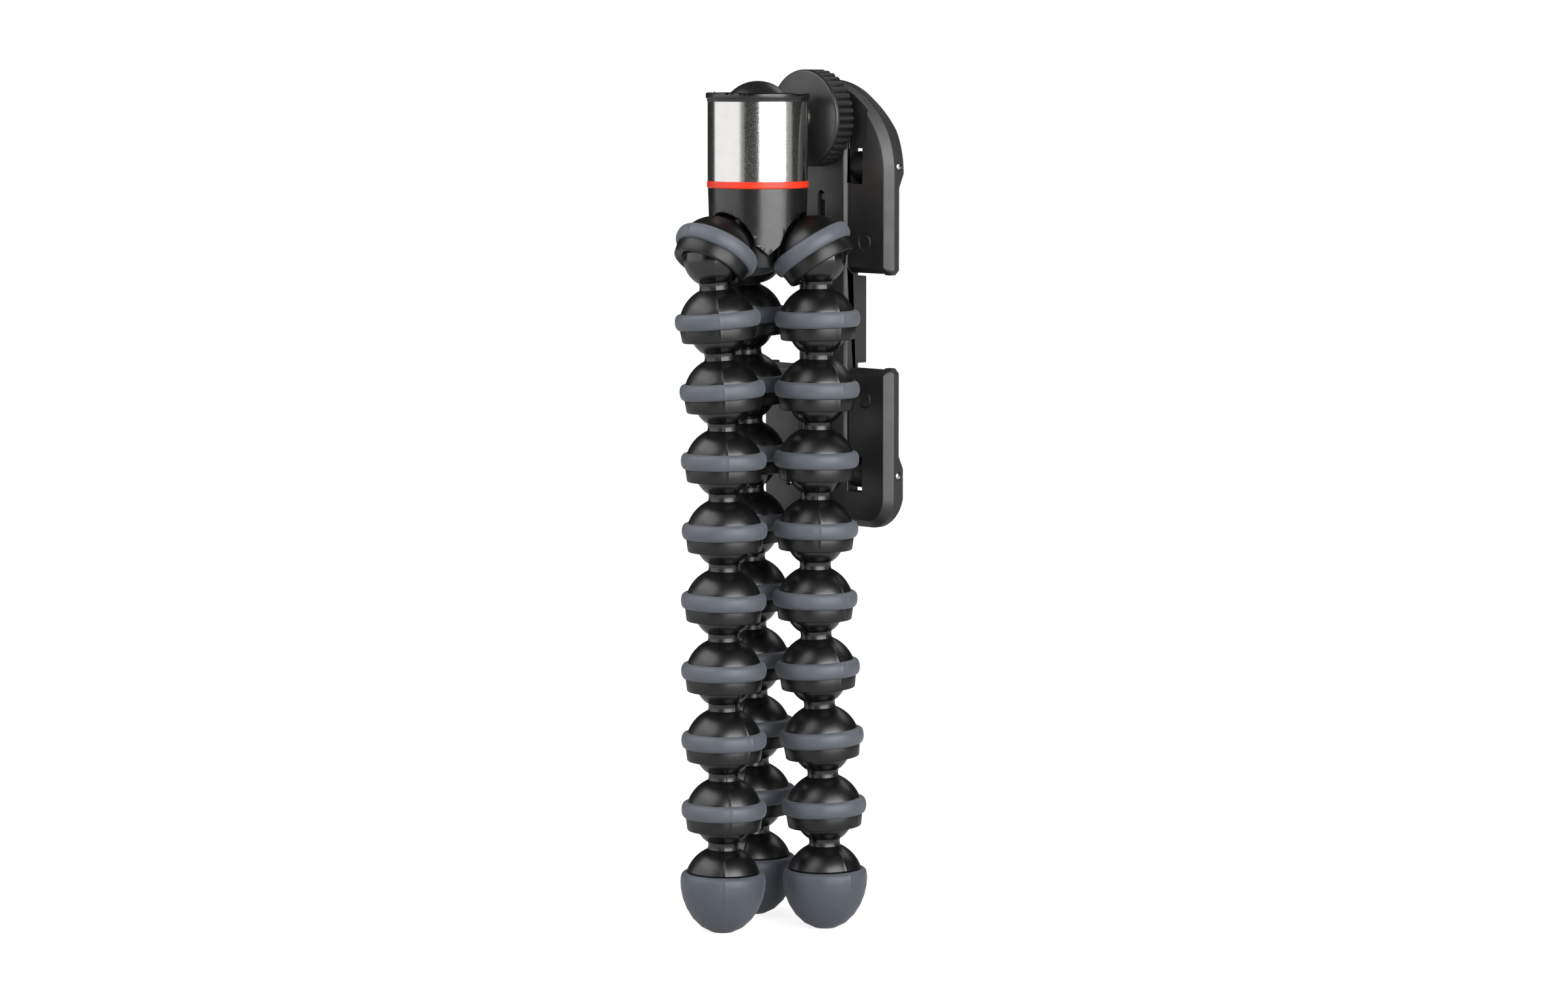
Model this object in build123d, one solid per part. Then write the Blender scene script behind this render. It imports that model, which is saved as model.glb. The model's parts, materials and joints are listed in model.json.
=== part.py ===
from build123d import *
import math
import os

# Flexible leg tripod with a ball head and a folding phone clamp
#
# Frame: millimetres, Z up, the floor at Z = 0 and the tripod's axis at X = Y = 0.
# The stem of the ball head points along +X, where the clamp hangs beside the legs.
# Leg a stands on the -X side, leg b towards -Y and leg c towards +Y.

# Leg links: a ball on top, a neck, a dome, a grip ring and a socket below
LINKS_PER_LEG = 8
LINK_PITCH = 13.8
BALL_R = 5.8
BALL_FLAT_R = 4.4
BALL_GAP = 0.2
NECK_R = 3.05
DOME_R = 7.64
DOME_RISE = 0.66
RING_R = 8.45
RING_LOW = 0.1
RING_HEIGHT = 3.2
RING_CREST = 1.3
COLLAR_R = 7.6
COLLAR_TAPER = 0.35
COLLAR_DEPTH = 2.4
MOUTH_R = 6.6
LIP_DEPTH = 1.9

# Feet: the last link of a leg ends in a plug that a rubber cup covers
FOOT_R = 8.45
FOOT_RIM_HEIGHT = 3.0
FOOT_RIM_ROUND = 0.9
FOOT_HEIGHT = 8.8
FOOT_TIP = 9.2
FOOT_SIDE_R = 6.7
FOOT_SIDE_DEPTH = 5.1
PLUG_R = 6.9
PLUG_SHOULDER_DEPTH = 0.6
PLUG_TIP_R = 3.6
PLUG_DEPTH = 5.2

# Stance: where the legs leave the hub and how each link is left leaning at rest
LEG_RADIUS = 12.0
LEG_AZIMUTHS = {"a": 180.0, "b": -60.0, "c": 60.0}
LEAN_AZIMUTH = -41.5
LINK_TILTS = {
    "a": (4.5, 3.6, 0.6, 0.6, -1.0, 0.2, 0.0, 0.0, -1.0),
    "b": (1.0, -0.5, -0.5, -0.5, -0.5, 2.4, 3.4, 2.0, 0.5),
    "c": (1.0, 1.0, 1.0, 1.0, 1.0, 1.0, 1.0, 1.0, 0.0),
}
SHOULDER_TILT = 33.5

# Hub: three shoulder sockets under a cover with pointed petals
HUB_HEIGHT = 13.4
COVER_R = 9.8
COVER_TAPER = 0.4
COVER_WALL = 1.4
COVER_ROOF = 1.4
PETAL_LENGTH = 13.4
ARCH_TOP = 9.11
ARCH_SHOULDER = (4.6, 7.75)
ARCH_SIDE = (7.3, 4.92)
ARCH_SKIRT = (12.4, 3.9)
CORE_POST_INSET = 6.8
CORE_POST_DEPTH = 2.2
CORE_FLANGE_DEPTH = 2.6
COVER_FIT = 0.1
HUB_SCREW_R = 1.25
HUB_SCREW_HEAD_R = 2.4
HUB_SCREW_HEAD = 1.6
HUB_SCREW_BITE = 2.0

# Head: a trim ring, a steel band round a flanged socket, and what grips the ball
TRIM_R = 10.0
TRIM_HEIGHT = 1.4
TRIM_ROUND = 0.3
BAND_R = 9.85
BAND_WALL = 0.5
BAND_HEIGHT = 15.5
FLANGE_R = 10.2
FLANGE_HEIGHT = 1.7
FLANGE_STEP = 0.25
FLANGE_STEP_HEIGHT = 0.6
FLANGE_ROUND = 0.3
HEAD_BALL_R = 7.4
HEAD_BALL_DROP = 5.1
HEAD_BALL_GAP = 0.12
HEAD_BORE_R = 7.8
HEAD_FLOOR = 3.0
CUP_R = 7.6
CUP_BORE_R = 3.4
CUP_LOW = 4.8
CUP_HEIGHT = 4.8
SPRING_R = 7.0
SPRING_WALL = 0.45

# Stem and stud: what the wheel and the clamp turn on
STEM_R = 2.4
NOTCH_GAP = 0.35
STEM_END = 10.5
STEM_COLLAR_R = 2.65
STEM_COLLAR = 0.6
STUD_R = 3.175
STUD_LENGTH = 8.6
STUD_TANG_R = 1.5
STUD_TANG = 5.5
STUD_CHAMFER = 0.4
STUD_FIT = 0.06

# Locking wheel
WHEEL_R = 9.6
WHEEL_NOSE_R = 3.7
WHEEL_NOSE_GAP = 0.1
WHEEL_CONE = 1.05
WHEEL_RIM = 0.8
WHEEL_RIM_ROUND = 0.18
WHEEL_WIDTH = 4.1
WHEEL_RIBS = 38
WHEEL_GROOVE = 0.85
WHEEL_DISH_R = 7.6
WHEEL_DISH = 1.6
WHEEL_BOSS_R = 4.6

# Clamp frame: a round-topped jaw with a hollow rail down its middle
RAIL_GAP = 0.1
RAIL_WIDTH = 13.7
RAIL_END_RISE = 4.6
RAIL_DEPTH = 3.7
RAIL_BACK_WALL = 1.1
RAIL_EDGE = 0.6
REST_HEIGHT = 2.3
REST_MARGIN = 0.5
REST_PAD = 0.5
REST_PAD_MARGIN = 1.2
REST_PAD_ROUND = 1.0
TUNNEL_WIDTH = 9.8
TUNNEL_HEIGHT = 1.8
TUNNEL_TOP_DROP = 3.7
JAW_WING = 11.55
JAW_GAP = 18.3
JAW_TRAVEL = 35.0
JAW_SETBACK = 0.7
JAW_THICKNESS = 3.0
JAW_CHAMFER = 1.5
JAW_CORNER = 1.0
JAW_SKIN = 1.3
CHEEK = 2.5
CHEEK_RIM = 1.25
RIM_START = 4.2
RIM_SLOPE = 2.8
RIM_FADE = 6.0
UPPER_RIM_DROP = 4.0
UPPER_JAW_RISE = 7.6
UPPER_PIN_DROP = 9.4
GUIDE_SLOT_WIDTH = 2.0
SINK_R = 12.2
SINK_DEPTH = 0.5
MARK_R = 1.7
MARK_LINE = 0.25
MARK_DEPTH = 0.2
MARK_INSET = 6.7
MARK_EDGE = 6.4

# Sliding jaw
LOWER_JAW_CORNER = 6.0
LOWER_PIN_RISE = 10.55
SLIDE_GAP = 0.25
TONGUE_WIDTH = 4.4
TONGUE_GAP = 0.15
TONGUE_TOP_GAP = 0.6
TONGUE_KEY_R = 0.75
TONGUE_KEY_DROP = 1.95
TONGUE_KEY_GAP = 0.25
BRIDGE_GAP = 0.4

# Flaps that fold out to hold the phone, with their pins, drums and pads
PIN_R = 0.8
PIN_INSET = 0.25
PIN_FIT = 0.05
PIN_FORWARD = 0.1
DRUM_R = 2.9
DRUM_WIDTH = 3.55
WINDOW_HALF_HEIGHT = 3.5
WINDOW_WIDTH = 4.05
FLAP_LENGTH = 20.8
FLAP_TIP_GAP = 0.6
FLAP_GAP = 0.3
FLAP_THICKNESS = 1.9
FLAP_LIFT = 0.4
FLAP_CORNER = 2.0
FLAP_BARREL_R = 1.5
FLAP_NOTCH = 2.3
FLAP_PAD = 1.2
FLAP_PAD_START = 4.4
FLAP_PAD_END = 1.2
FLAP_PAD_INSET = 0.9
FLAP_LIP = 1.4
FLAP_LIP_WIDTH = 1.6

# Thread insert and return springs inside the clamp
INSERT_R = 4.4
INSERT_FLANGE_R = 5.2
INSERT_FLANGE = 0.8
INSERT_SINK = 1.2
RETURN_SPRING_R = 0.75
RETURN_SPRING_WALL = 0.3
RETURN_SPRING_OFFSET = 3.7

# Overrun of every cut
CUT = 2.0

# Heights and places worked out from the sizes above
SHOULDER_Z = FOOT_HEIGHT + (LINKS_PER_LEG + 1) * LINK_PITCH
HUB_TOP_Z = SHOULDER_Z + HUB_HEIGHT
BAND_Z = HUB_TOP_Z + TRIM_HEIGHT
FLANGE_Z = BAND_Z + BAND_HEIGHT
HEAD_TOP_Z = FLANGE_Z + FLANGE_HEIGHT
STEM_Z = HEAD_TOP_Z - HEAD_BALL_DROP
WHEEL_X = STEM_END + STEM_COLLAR + WHEEL_NOSE_GAP
RAIL_X = WHEEL_X + WHEEL_CONE + WHEEL_RIM + WHEEL_WIDTH + RAIL_GAP
RAIL_FRONT_X = RAIL_X + RAIL_DEPTH
JAW_X = RAIL_X + JAW_SETBACK
JAW_FRONT_X = JAW_X + JAW_THICKNESS
CHEEK_FRONT_X = JAW_FRONT_X + CHEEK_RIM
INSERT_FLANGE_X = JAW_FRONT_X - INSERT_SINK - INSERT_FLANGE
PIN_X = RAIL_FRONT_X + PIN_FORWARD
FLAP_FRONT_X = RAIL_FRONT_X + FLAP_LIFT + FLAP_THICKNESS
JAW_WIDTH = RAIL_WIDTH + 2 * JAW_WING
UPPER_JAW_TOP_Z = STEM_Z + UPPER_JAW_RISE
UPPER_PIN_Z = STEM_Z - UPPER_PIN_DROP
UPPER_JAW_LOW_Z = UPPER_PIN_Z - FLAP_LENGTH - FLAP_TIP_GAP
LOWER_JAW_TOP_Z = UPPER_JAW_LOW_Z - JAW_GAP
LOWER_PIN_Z = LOWER_JAW_TOP_Z - FLAP_TIP_GAP - FLAP_LENGTH
LOWER_JAW_LOW_Z = LOWER_PIN_Z - LOWER_PIN_RISE
RAIL_LOW_Z = LOWER_PIN_Z + RAIL_END_RISE
TUNNEL_TOP_Z = UPPER_PIN_Z - TUNNEL_TOP_DROP
TONGUE_TOP_Z = TUNNEL_TOP_Z - TONGUE_TOP_GAP
KEY_Z = TONGUE_TOP_Z - TONGUE_KEY_DROP
SOCKET_R = BALL_R + BALL_GAP
RING_TOP = RING_LOW + RING_HEIGHT
RING_SEAT_R = math.sqrt(DOME_R**2 - (RING_TOP - DOME_RISE) ** 2)
NOTCH_HALF = STEM_R + NOTCH_GAP
CORE_POST_R = LEG_RADIUS - CORE_POST_INSET


def flat(radius, height):
    """A point of an outline that is turned about the Z axis."""
    return (radius, 0, height)


def height_on_circle(centre, radius, reach, side):
    """Height at which a circle centred on the axis is a given reach from it."""
    return centre + side * math.sqrt(radius**2 - reach**2)


def round_side(centre, radius, start, end):
    """Arc about a centre on the Z axis, from one (radius, height) point to another."""
    angles = [math.atan2(h - centre, r) for r, h in (start, end)]
    middle = sum(angles) / len(angles)
    through = flat(radius * math.cos(middle), centre + radius * math.sin(middle))
    return ThreePointArc(flat(*start), through, flat(*end))


def turned(edges):
    """Solid of revolution about Z from the edges of a closed outline."""
    return revolve(make_face(Curve() + edges), Axis.Z, 360)


def polyline(points):
    """Straight edges through (radius, height) points."""
    return [Line(flat(*a), flat(*b)) for a, b in zip(points, points[1:])]


def ring_solid(outer, inner, low, high):
    """Plain ring about Z."""
    return turned(polyline([(inner, low), (outer, low), (outer, high), (inner, high), (inner, low)]))


def box(x, y, z):
    """Box from three (low, high) pairs."""
    size = [high - low for low, high in (x, y, z)]
    middle = [(high + low) / 2 for low, high in (x, y, z)]
    return Pos(*middle) * Box(*size)


def along_x(radius, start, end, y=0.0, z=0.0):
    """Cylinder parallel to X."""
    return Pos((start + end) / 2, y, z) * Rot(0, 90, 0) * Cylinder(radius, end - start)


def along_y(radius, start, end, x, z):
    """Cylinder parallel to Y."""
    return Pos(x, (start + end) / 2, z) * Rot(90, 0, 0) * Cylinder(radius, end - start)


def both_sides(solid):
    """A solid and its mirror image across the XZ plane."""
    return [solid, mirror(solid, Plane.XZ)]


# Leg geometry
def neck_and_ball():
    """Outline from the flat top of the ball, down its side and the neck, to the dome."""
    ball_top = (BALL_FLAT_R, height_on_circle(LINK_PITCH, BALL_R, BALL_FLAT_R, 1))
    ball_end = (NECK_R, height_on_circle(LINK_PITCH, BALL_R, NECK_R, -1))
    dome_start = (NECK_R, height_on_circle(DOME_RISE, DOME_R, NECK_R, 1))
    return [
        Line(flat(0, ball_top[1]), flat(*ball_top)),
        round_side(LINK_PITCH, BALL_R, ball_top, ball_end),
        Line(flat(*ball_end), flat(*dome_start)),
        round_side(DOME_RISE, DOME_R, dome_start, (RING_SEAT_R, RING_TOP)),
    ]


def socket_side():
    """Outline from the top of the ring seat, round the collar, to the socket's pole."""
    lip_r = math.sqrt(SOCKET_R**2 - LIP_DEPTH**2)
    edges = polyline(
        [
            (RING_SEAT_R, RING_TOP),
            (RING_SEAT_R, RING_LOW),
            (COLLAR_R, RING_LOW),
            (COLLAR_R - COLLAR_TAPER, -COLLAR_DEPTH),
            (MOUTH_R, -COLLAR_DEPTH),
            (lip_r, -LIP_DEPTH),
        ]
    )
    return edges + [round_side(0, SOCKET_R, (lip_r, -LIP_DEPTH), (0, SOCKET_R))]


def grip_ring():
    """Rubber ring on its seat, with a bevelled crest."""
    slope = (RING_HEIGHT - RING_CREST) / 2
    return turned(
        polyline(
            [
                (RING_SEAT_R, RING_LOW),
                (RING_R, RING_LOW + slope),
                (RING_R, RING_TOP - slope),
                (RING_SEAT_R, RING_TOP),
                (RING_SEAT_R, RING_LOW),
            ]
        )
    )


def link_shell():
    """Black moulding of one link."""
    outline = neck_and_ball()
    axis = Line(flat(0, SOCKET_R), outline[0] @ 0)
    return turned(outline + socket_side() + [axis])


def foot_shell():
    """Last moulding of a leg, with the plug that carries the rubber foot."""
    plug = polyline(
        [
            (RING_SEAT_R, RING_TOP),
            (PLUG_R, FOOT_RIM_HEIGHT),
            (PLUG_R, -PLUG_SHOULDER_DEPTH),
            (PLUG_TIP_R, -PLUG_DEPTH),
            (0, -PLUG_DEPTH),
        ]
    )
    outline = neck_and_ball()
    axis = Line(plug[-1] @ 1, outline[0] @ 0)
    return turned(outline + plug + [axis])


def foot_cup():
    """Rubber foot, before its sole is cut level with the floor."""
    rim_start = FOOT_RIM_HEIGHT - FOOT_RIM_ROUND
    corner = (1 - math.sqrt(0.5)) * FOOT_RIM_ROUND
    rim = ThreePointArc(
        flat(FOOT_R - FOOT_RIM_ROUND, FOOT_RIM_HEIGHT),
        flat(FOOT_R - corner, FOOT_RIM_HEIGHT - corner),
        flat(FOOT_R, rim_start),
    )
    side = Line(flat(FOOT_R, rim_start), flat(FOOT_R, 0))
    dome = ThreePointArc(flat(FOOT_R, 0), flat(FOOT_SIDE_R, -FOOT_SIDE_DEPTH), flat(0, -FOOT_TIP))
    inside = polyline(
        [
            (0, -FOOT_TIP),
            (0, -PLUG_DEPTH),
            (PLUG_TIP_R, -PLUG_DEPTH),
            (PLUG_R, -PLUG_SHOULDER_DEPTH),
            (PLUG_R, FOOT_RIM_HEIGHT),
            (FOOT_R - FOOT_RIM_ROUND, FOOT_RIM_HEIGHT),
        ]
    )
    return turned([rim, side, dome] + inside)


def lean_direction(degrees):
    """Unit vector of a link that hangs down and leans towards LEAN_AZIMUTH."""
    lean, azimuth = math.radians(degrees), math.radians(LEAN_AZIMUTH)
    level = math.sin(lean)
    return Vector(level * math.cos(azimuth), level * math.sin(azimuth), -math.cos(lean))


def shoulder_centre(leg):
    """Centre of the shoulder socket that a leg hangs from."""
    azimuth = math.radians(LEG_AZIMUTHS[leg])
    return Vector(LEG_RADIUS * math.cos(azimuth), LEG_RADIUS * math.sin(azimuth), SHOULDER_Z)


def leg_places(leg):
    """Plane of each link of a leg: its origin at the socket centre, Z up the link."""
    centre, places = shoulder_centre(leg), []
    for lean in LINK_TILTS[leg]:
        hang = lean_direction(lean)
        centre = centre + hang * LINK_PITCH
        places.append(Plane(origin=centre, x_dir=Vector(0, 1, 0).cross(hang * -1), z_dir=hang * -1))
    return places


def leg_parts(leg):
    """Every node of one leg, from the hip down."""
    places = leg_places(leg)
    shell, ring = link_shell(), grip_ring()
    nodes = {}
    for number, place in enumerate(places[:-1], start=1):
        nodes[f"leg_{leg}_link_{number}"] = [place * shell, place * ring]
    nodes[f"leg_{leg}_foot_link"] = [places[-1] * foot_shell()]
    under_floor = box((-LEG_RADIUS * 2, LEG_RADIUS * 2), (-LEG_RADIUS * 2, LEG_RADIUS * 2), (-CUT, 0))
    nodes[f"leg_{leg}_foot_pad"] = [places[-1] * foot_cup() - under_floor]
    return nodes


# Hub geometry
def shoulder_place(leg):
    """Plane of a shoulder socket: Z points up and inwards along the socket's axis."""
    azimuth, tilt = math.radians(LEG_AZIMUTHS[leg]), math.radians(SHOULDER_TILT)
    inward = Vector(-math.cos(azimuth), -math.sin(azimuth), 0)
    upward = inward * math.sin(tilt) + Vector(0, 0, 1) * math.cos(tilt)
    tangent = Vector(-math.sin(azimuth), math.cos(azimuth), 0)
    return Plane(origin=shoulder_centre(leg), x_dir=tangent, z_dir=upward)


def shoulder_solid():
    """Domed shoulder with its socket."""
    dome = round_side(DOME_RISE, DOME_R, (0, DOME_RISE + DOME_R), (RING_SEAT_R, RING_TOP))
    axis = polyline([(0, SOCKET_R), (0, DOME_RISE + DOME_R)])
    return turned([dome] + socket_side() + axis)


def hub_core():
    """Three shoulders on a post, with a flange that carries the cover."""
    roof_z = HUB_TOP_Z - COVER_ROOF
    flange_r = COVER_R - COVER_WALL - COVER_FIT
    flange_low = roof_z - CORE_FLANGE_DEPTH
    post = ring_solid(CORE_POST_R, HUB_SCREW_R, SHOULDER_Z - CORE_POST_DEPTH, roof_z)
    flange = ring_solid(flange_r, HUB_SCREW_R, flange_low, roof_z)
    core = post + flange
    shoulders = [shoulder_place(leg) * shoulder_solid() for leg in LEG_AZIMUTHS]
    core += shoulders
    core -= [Pos(*shoulder_centre(leg)) * Sphere(SOCKET_R) for leg in LEG_AZIMUTHS]
    core -= shoulder_rings()
    sink_z = SHOULDER_Z - CORE_POST_DEPTH
    return core - ring_solid(HUB_SCREW_HEAD_R, 0, sink_z - CUT, sink_z + HUB_SCREW_HEAD)


def shoulder_rings():
    """Grip rings of the three shoulders."""
    return [shoulder_place(leg) * grip_ring() for leg in LEG_AZIMUTHS]


def arch_cutter():
    """Bell that clears a shoulder under the cover, about the shoulder's axis."""
    dome = ThreePointArc(flat(0, ARCH_TOP), flat(*ARCH_SHOULDER), flat(*ARCH_SIDE))
    skirt = polyline([ARCH_SIDE, ARCH_SKIRT, (ARCH_SKIRT[0], -LINK_PITCH), (0, -LINK_PITCH), (0, ARCH_TOP)])
    return turned([dome] + skirt)


def hub_cover():
    """Cover under the trim ring, cut by three arches that leave three petals."""
    low_z = HUB_TOP_Z - PETAL_LENGTH
    low_r = COVER_R - COVER_TAPER
    cover = turned(
        polyline(
            [
                (COVER_R, HUB_TOP_Z),
                (HUB_SCREW_R, HUB_TOP_Z),
                (HUB_SCREW_R, HUB_TOP_Z - COVER_ROOF),
                (COVER_R - COVER_WALL, HUB_TOP_Z - COVER_ROOF),
                (low_r - COVER_WALL, low_z),
                (low_r, low_z),
                (COVER_R, HUB_TOP_Z),
            ]
        )
    )
    for leg in LEG_AZIMUTHS:
        cover -= shoulder_place(leg) * arch_cutter()
    return cover


def hub_screw():
    """Screw that holds core, cover and head socket together."""
    head_z = SHOULDER_Z - CORE_POST_DEPTH
    return turned(
        polyline(
            [
                (0, head_z),
                (HUB_SCREW_HEAD_R, head_z),
                (HUB_SCREW_HEAD_R, head_z + HUB_SCREW_HEAD),
                (HUB_SCREW_R, head_z + HUB_SCREW_HEAD),
                (HUB_SCREW_R, BAND_Z + HUB_SCREW_BITE),
                (0, BAND_Z + HUB_SCREW_BITE),
                (0, head_z),
            ]
        )
    )


# Head geometry
def stem_notch():
    """Slot that lets the stem lie level, open at the top of the head."""
    slot = box((0, FLANGE_R + CUT), (-NOTCH_HALF, NOTCH_HALF), (STEM_Z, HEAD_TOP_Z + CUT))
    return slot + along_x(NOTCH_HALF, 0, FLANGE_R + CUT, z=STEM_Z)


def trim_ring():
    """Thin coloured ring between the hub and the steel band."""
    ring = ring_solid(TRIM_R, BAND_R - BAND_WALL, HUB_TOP_Z, BAND_Z)
    rims = ring.edges().filter_by(GeomType.CIRCLE).group_by(SortBy.RADIUS)[-1]
    return fillet(rims, TRIM_ROUND)


def steel_band():
    """Steel sleeve with the notch for the stem."""
    return ring_solid(BAND_R, BAND_R - BAND_WALL, BAND_Z, FLANGE_Z) - stem_notch()


def head_socket():
    """Flanged sleeve that holds the ball, inside the steel band."""
    sleeve_r = BAND_R - BAND_WALL
    outline = turned(
        polyline(
            [
                (0, HUB_TOP_Z),
                (sleeve_r, HUB_TOP_Z),
                (sleeve_r, FLANGE_Z),
                (FLANGE_R - FLANGE_STEP, FLANGE_Z),
                (FLANGE_R - FLANGE_STEP, FLANGE_Z + FLANGE_STEP_HEIGHT),
                (FLANGE_R, FLANGE_Z + FLANGE_STEP_HEIGHT),
                (FLANGE_R, HEAD_TOP_Z),
                (0, HEAD_TOP_Z),
                (0, HUB_TOP_Z),
            ]
        )
    )
    rim = outline.edges().filter_by(GeomType.CIRCLE).group_by(Axis.Z)[-1]
    outline = fillet(rim, FLANGE_ROUND)
    bore = ring_solid(HEAD_BORE_R, 0, BAND_Z + HEAD_FLOOR, STEM_Z)
    ball_room = Pos(0, 0, STEM_Z) * Sphere(HEAD_BALL_R + HEAD_BALL_GAP)
    screw_hole = ring_solid(HUB_SCREW_R, 0, HUB_TOP_Z - CUT, BAND_Z + HUB_SCREW_BITE)
    return outline - bore - ball_room - screw_hole - stem_notch()


def friction_cup():
    """Cup that the spring presses against the ball."""
    low_z = BAND_Z + CUP_LOW
    cup = ring_solid(CUP_R, CUP_BORE_R, low_z, low_z + CUP_HEIGHT)
    return cup - Pos(0, 0, STEM_Z) * Sphere(HEAD_BALL_R + HEAD_BALL_GAP)


def friction_spring():
    """Cone spring between the floor of the socket and the cup."""
    low_z, high_z = BAND_Z + HEAD_FLOOR, BAND_Z + CUP_LOW
    inner = CUP_BORE_R
    return turned(
        polyline(
            [
                (SPRING_R, low_z),
                (SPRING_R, low_z + SPRING_WALL),
                (inner, high_z),
                (inner, high_z - SPRING_WALL),
                (SPRING_R, low_z),
            ]
        )
    )


def head_ball():
    """Ball with its level stem and collar."""
    collar_end = STEM_END + STEM_COLLAR
    ball = Pos(0, 0, STEM_Z) * Sphere(HEAD_BALL_R)
    ball += along_x(STEM_R, 0, STEM_END, z=STEM_Z)
    collar = along_x(STEM_COLLAR_R, STEM_END, collar_end, z=STEM_Z)
    ball += chamfer(collar.edges().group_by(Axis.X)[0], STEM_COLLAR / 2)
    return ball - along_x(STUD_TANG_R, collar_end - STUD_TANG, collar_end + CUT, z=STEM_Z)


def camera_stud():
    """Quarter-inch camera stud with the tang that is pressed into the stem."""
    start = STEM_END + STEM_COLLAR
    stud = along_x(STUD_R, start, start + STUD_LENGTH, z=STEM_Z)
    stud = chamfer(stud.edges().group_by(Axis.X)[-1], STUD_CHAMFER)
    return stud + along_x(STUD_TANG_R, start - STUD_TANG, start, z=STEM_Z)


def locking_wheel():
    """Ribbed wheel with a shallow cone towards the head and a dish towards the clamp."""
    rim_start = WHEEL_CONE
    rib_start = rim_start + WHEEL_RIM
    width = rib_start + WHEEL_WIDTH
    bore = STUD_R + STUD_FIT
    body = turned(
        polyline(
            [
                (bore, 0),
                (WHEEL_NOSE_R, 0),
                (WHEEL_R - WHEEL_RIM_ROUND, rim_start),
                (WHEEL_R, rim_start + WHEEL_RIM_ROUND),
                (WHEEL_R, width),
                (WHEEL_DISH_R, width),
                (WHEEL_DISH_R, width - WHEEL_DISH),
                (WHEEL_BOSS_R, width - WHEEL_DISH),
                (WHEEL_BOSS_R, width),
                (bore, width),
                (bore, 0),
            ]
        )
    )
    groove = Rot(0, 0, 45) * Box(WHEEL_GROOVE, WHEEL_GROOVE, WHEEL_WIDTH + CUT)
    groove = Pos(WHEEL_R, 0, rib_start + (WHEEL_WIDTH + CUT) / 2) * groove
    body -= [Rot(0, 0, 360 * i / WHEEL_RIBS) * groove for i in range(WHEEL_RIBS)]
    return Pos(WHEEL_X, 0, STEM_Z) * Rot(0, 90, 0) * body


# Clamp geometry
def plate(x_low, x_high, outline):
    """Plate parallel to the YZ plane from a face drawn with Y as x and Z as y."""
    face = Plane(origin=(x_low, 0, 0), x_dir=(0, 1, 0), z_dir=(1, 0, 0)) * outline
    return extrude(face, x_high - x_low)


def rectangle(half_width, low, high, middle=0.0):
    """Face centred on Y = middle between two heights."""
    return Pos(middle, (low + high) / 2) * Rectangle(2 * half_width, high - low)


def arch_outline(inset=0.0):
    """Face of the upper jaw, or the same set in: a full round top over straight sides."""
    half = JAW_WIDTH / 2 - inset
    round_z = UPPER_JAW_TOP_Z - JAW_WIDTH / 2
    face = rectangle(half, UPPER_JAW_LOW_Z, round_z)
    corners = face.vertices().group_by(Axis.Y)[0]
    return chamfer(corners, JAW_CORNER) + Pos(0, round_z) * Circle(half)


def lower_outline(inset=0.0):
    """Face of the sliding jaw, or the same set in: large round corners at the bottom."""
    face = rectangle(JAW_WIDTH / 2 - inset, LOWER_JAW_LOW_Z + inset, LOWER_JAW_TOP_Z)
    face = fillet(face.vertices().group_by(Axis.Y)[0], LOWER_JAW_CORNER - inset)
    return chamfer(face.vertices().group_by(Axis.Y)[-1], JAW_CORNER)


def chamfered_plate(outline):
    """Jaw plate whose back edge is chamfered all round."""
    jaw = plate(JAW_X, JAW_FRONT_X, outline)
    return chamfer(jaw.faces().sort_by(Axis.X)[0].outer_wire().edges(), JAW_CHAMFER)


def cheek_rim(edge_band, pin_z, side, end_z):
    """Rim that carries a hinge pin; side points to the flap, and the other end fades out."""
    back = JAW_FRONT_X - JAW_SKIN
    start_z = pin_z + side * RIM_START
    outline = Polyline(
        flat(back, start_z),
        flat(JAW_FRONT_X, start_z),
        flat(CHEEK_FRONT_X, start_z - side * RIM_SLOPE),
        flat(CHEEK_FRONT_X, end_z + side * RIM_FADE),
        flat(JAW_FRONT_X, end_z),
        flat(back, end_z),
        close=True,
    )
    profile = extrude(make_face(outline), JAW_WIDTH / 2, both=True)
    return plate(back, CHEEK_FRONT_X, edge_band) & profile


def pin_holes(pin_z):
    """Hole for a hinge pin right across a jaw."""
    half = JAW_WIDTH / 2
    return along_y(PIN_R, -half - CUT, half + CUT, PIN_X, pin_z)


def drum_windows(pin_z):
    """Openings beside the rail that show the drums of a flap."""
    start = RAIL_WIDTH / 2
    window = box(
        (JAW_X - CUT, FLAP_FRONT_X + CUT),
        (start, start + WINDOW_WIDTH),
        (pin_z - WINDOW_HALF_HEIGHT, pin_z + WINDOW_HALF_HEIGHT),
    )
    return both_sides(window)


def flap_room(low, high):
    """Recess in the front of a jaw for a folded flap, deeper on both sides of the rail."""
    start, end = RAIL_WIDTH / 2, JAW_WIDTH / 2 - CHEEK
    sides = box((JAW_X + JAW_SKIN, FLAP_FRONT_X + CUT), (start, end), (low, high))
    return both_sides(sides) + [box((RAIL_FRONT_X, FLAP_FRONT_X + CUT), (-end, end), (low, high))]


def moulding_marks(height):
    """Shallow round marks that the mould leaves on the back of a jaw."""
    reach = JAW_WIDTH / 2 - MARK_INSET
    mark = along_x(MARK_R, JAW_X - CUT, JAW_X + MARK_DEPTH, y=reach, z=height)
    mark -= along_x(MARK_R - MARK_LINE, JAW_X - CUT, JAW_X + MARK_DEPTH, y=reach, z=height)
    return both_sides(mark)


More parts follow.
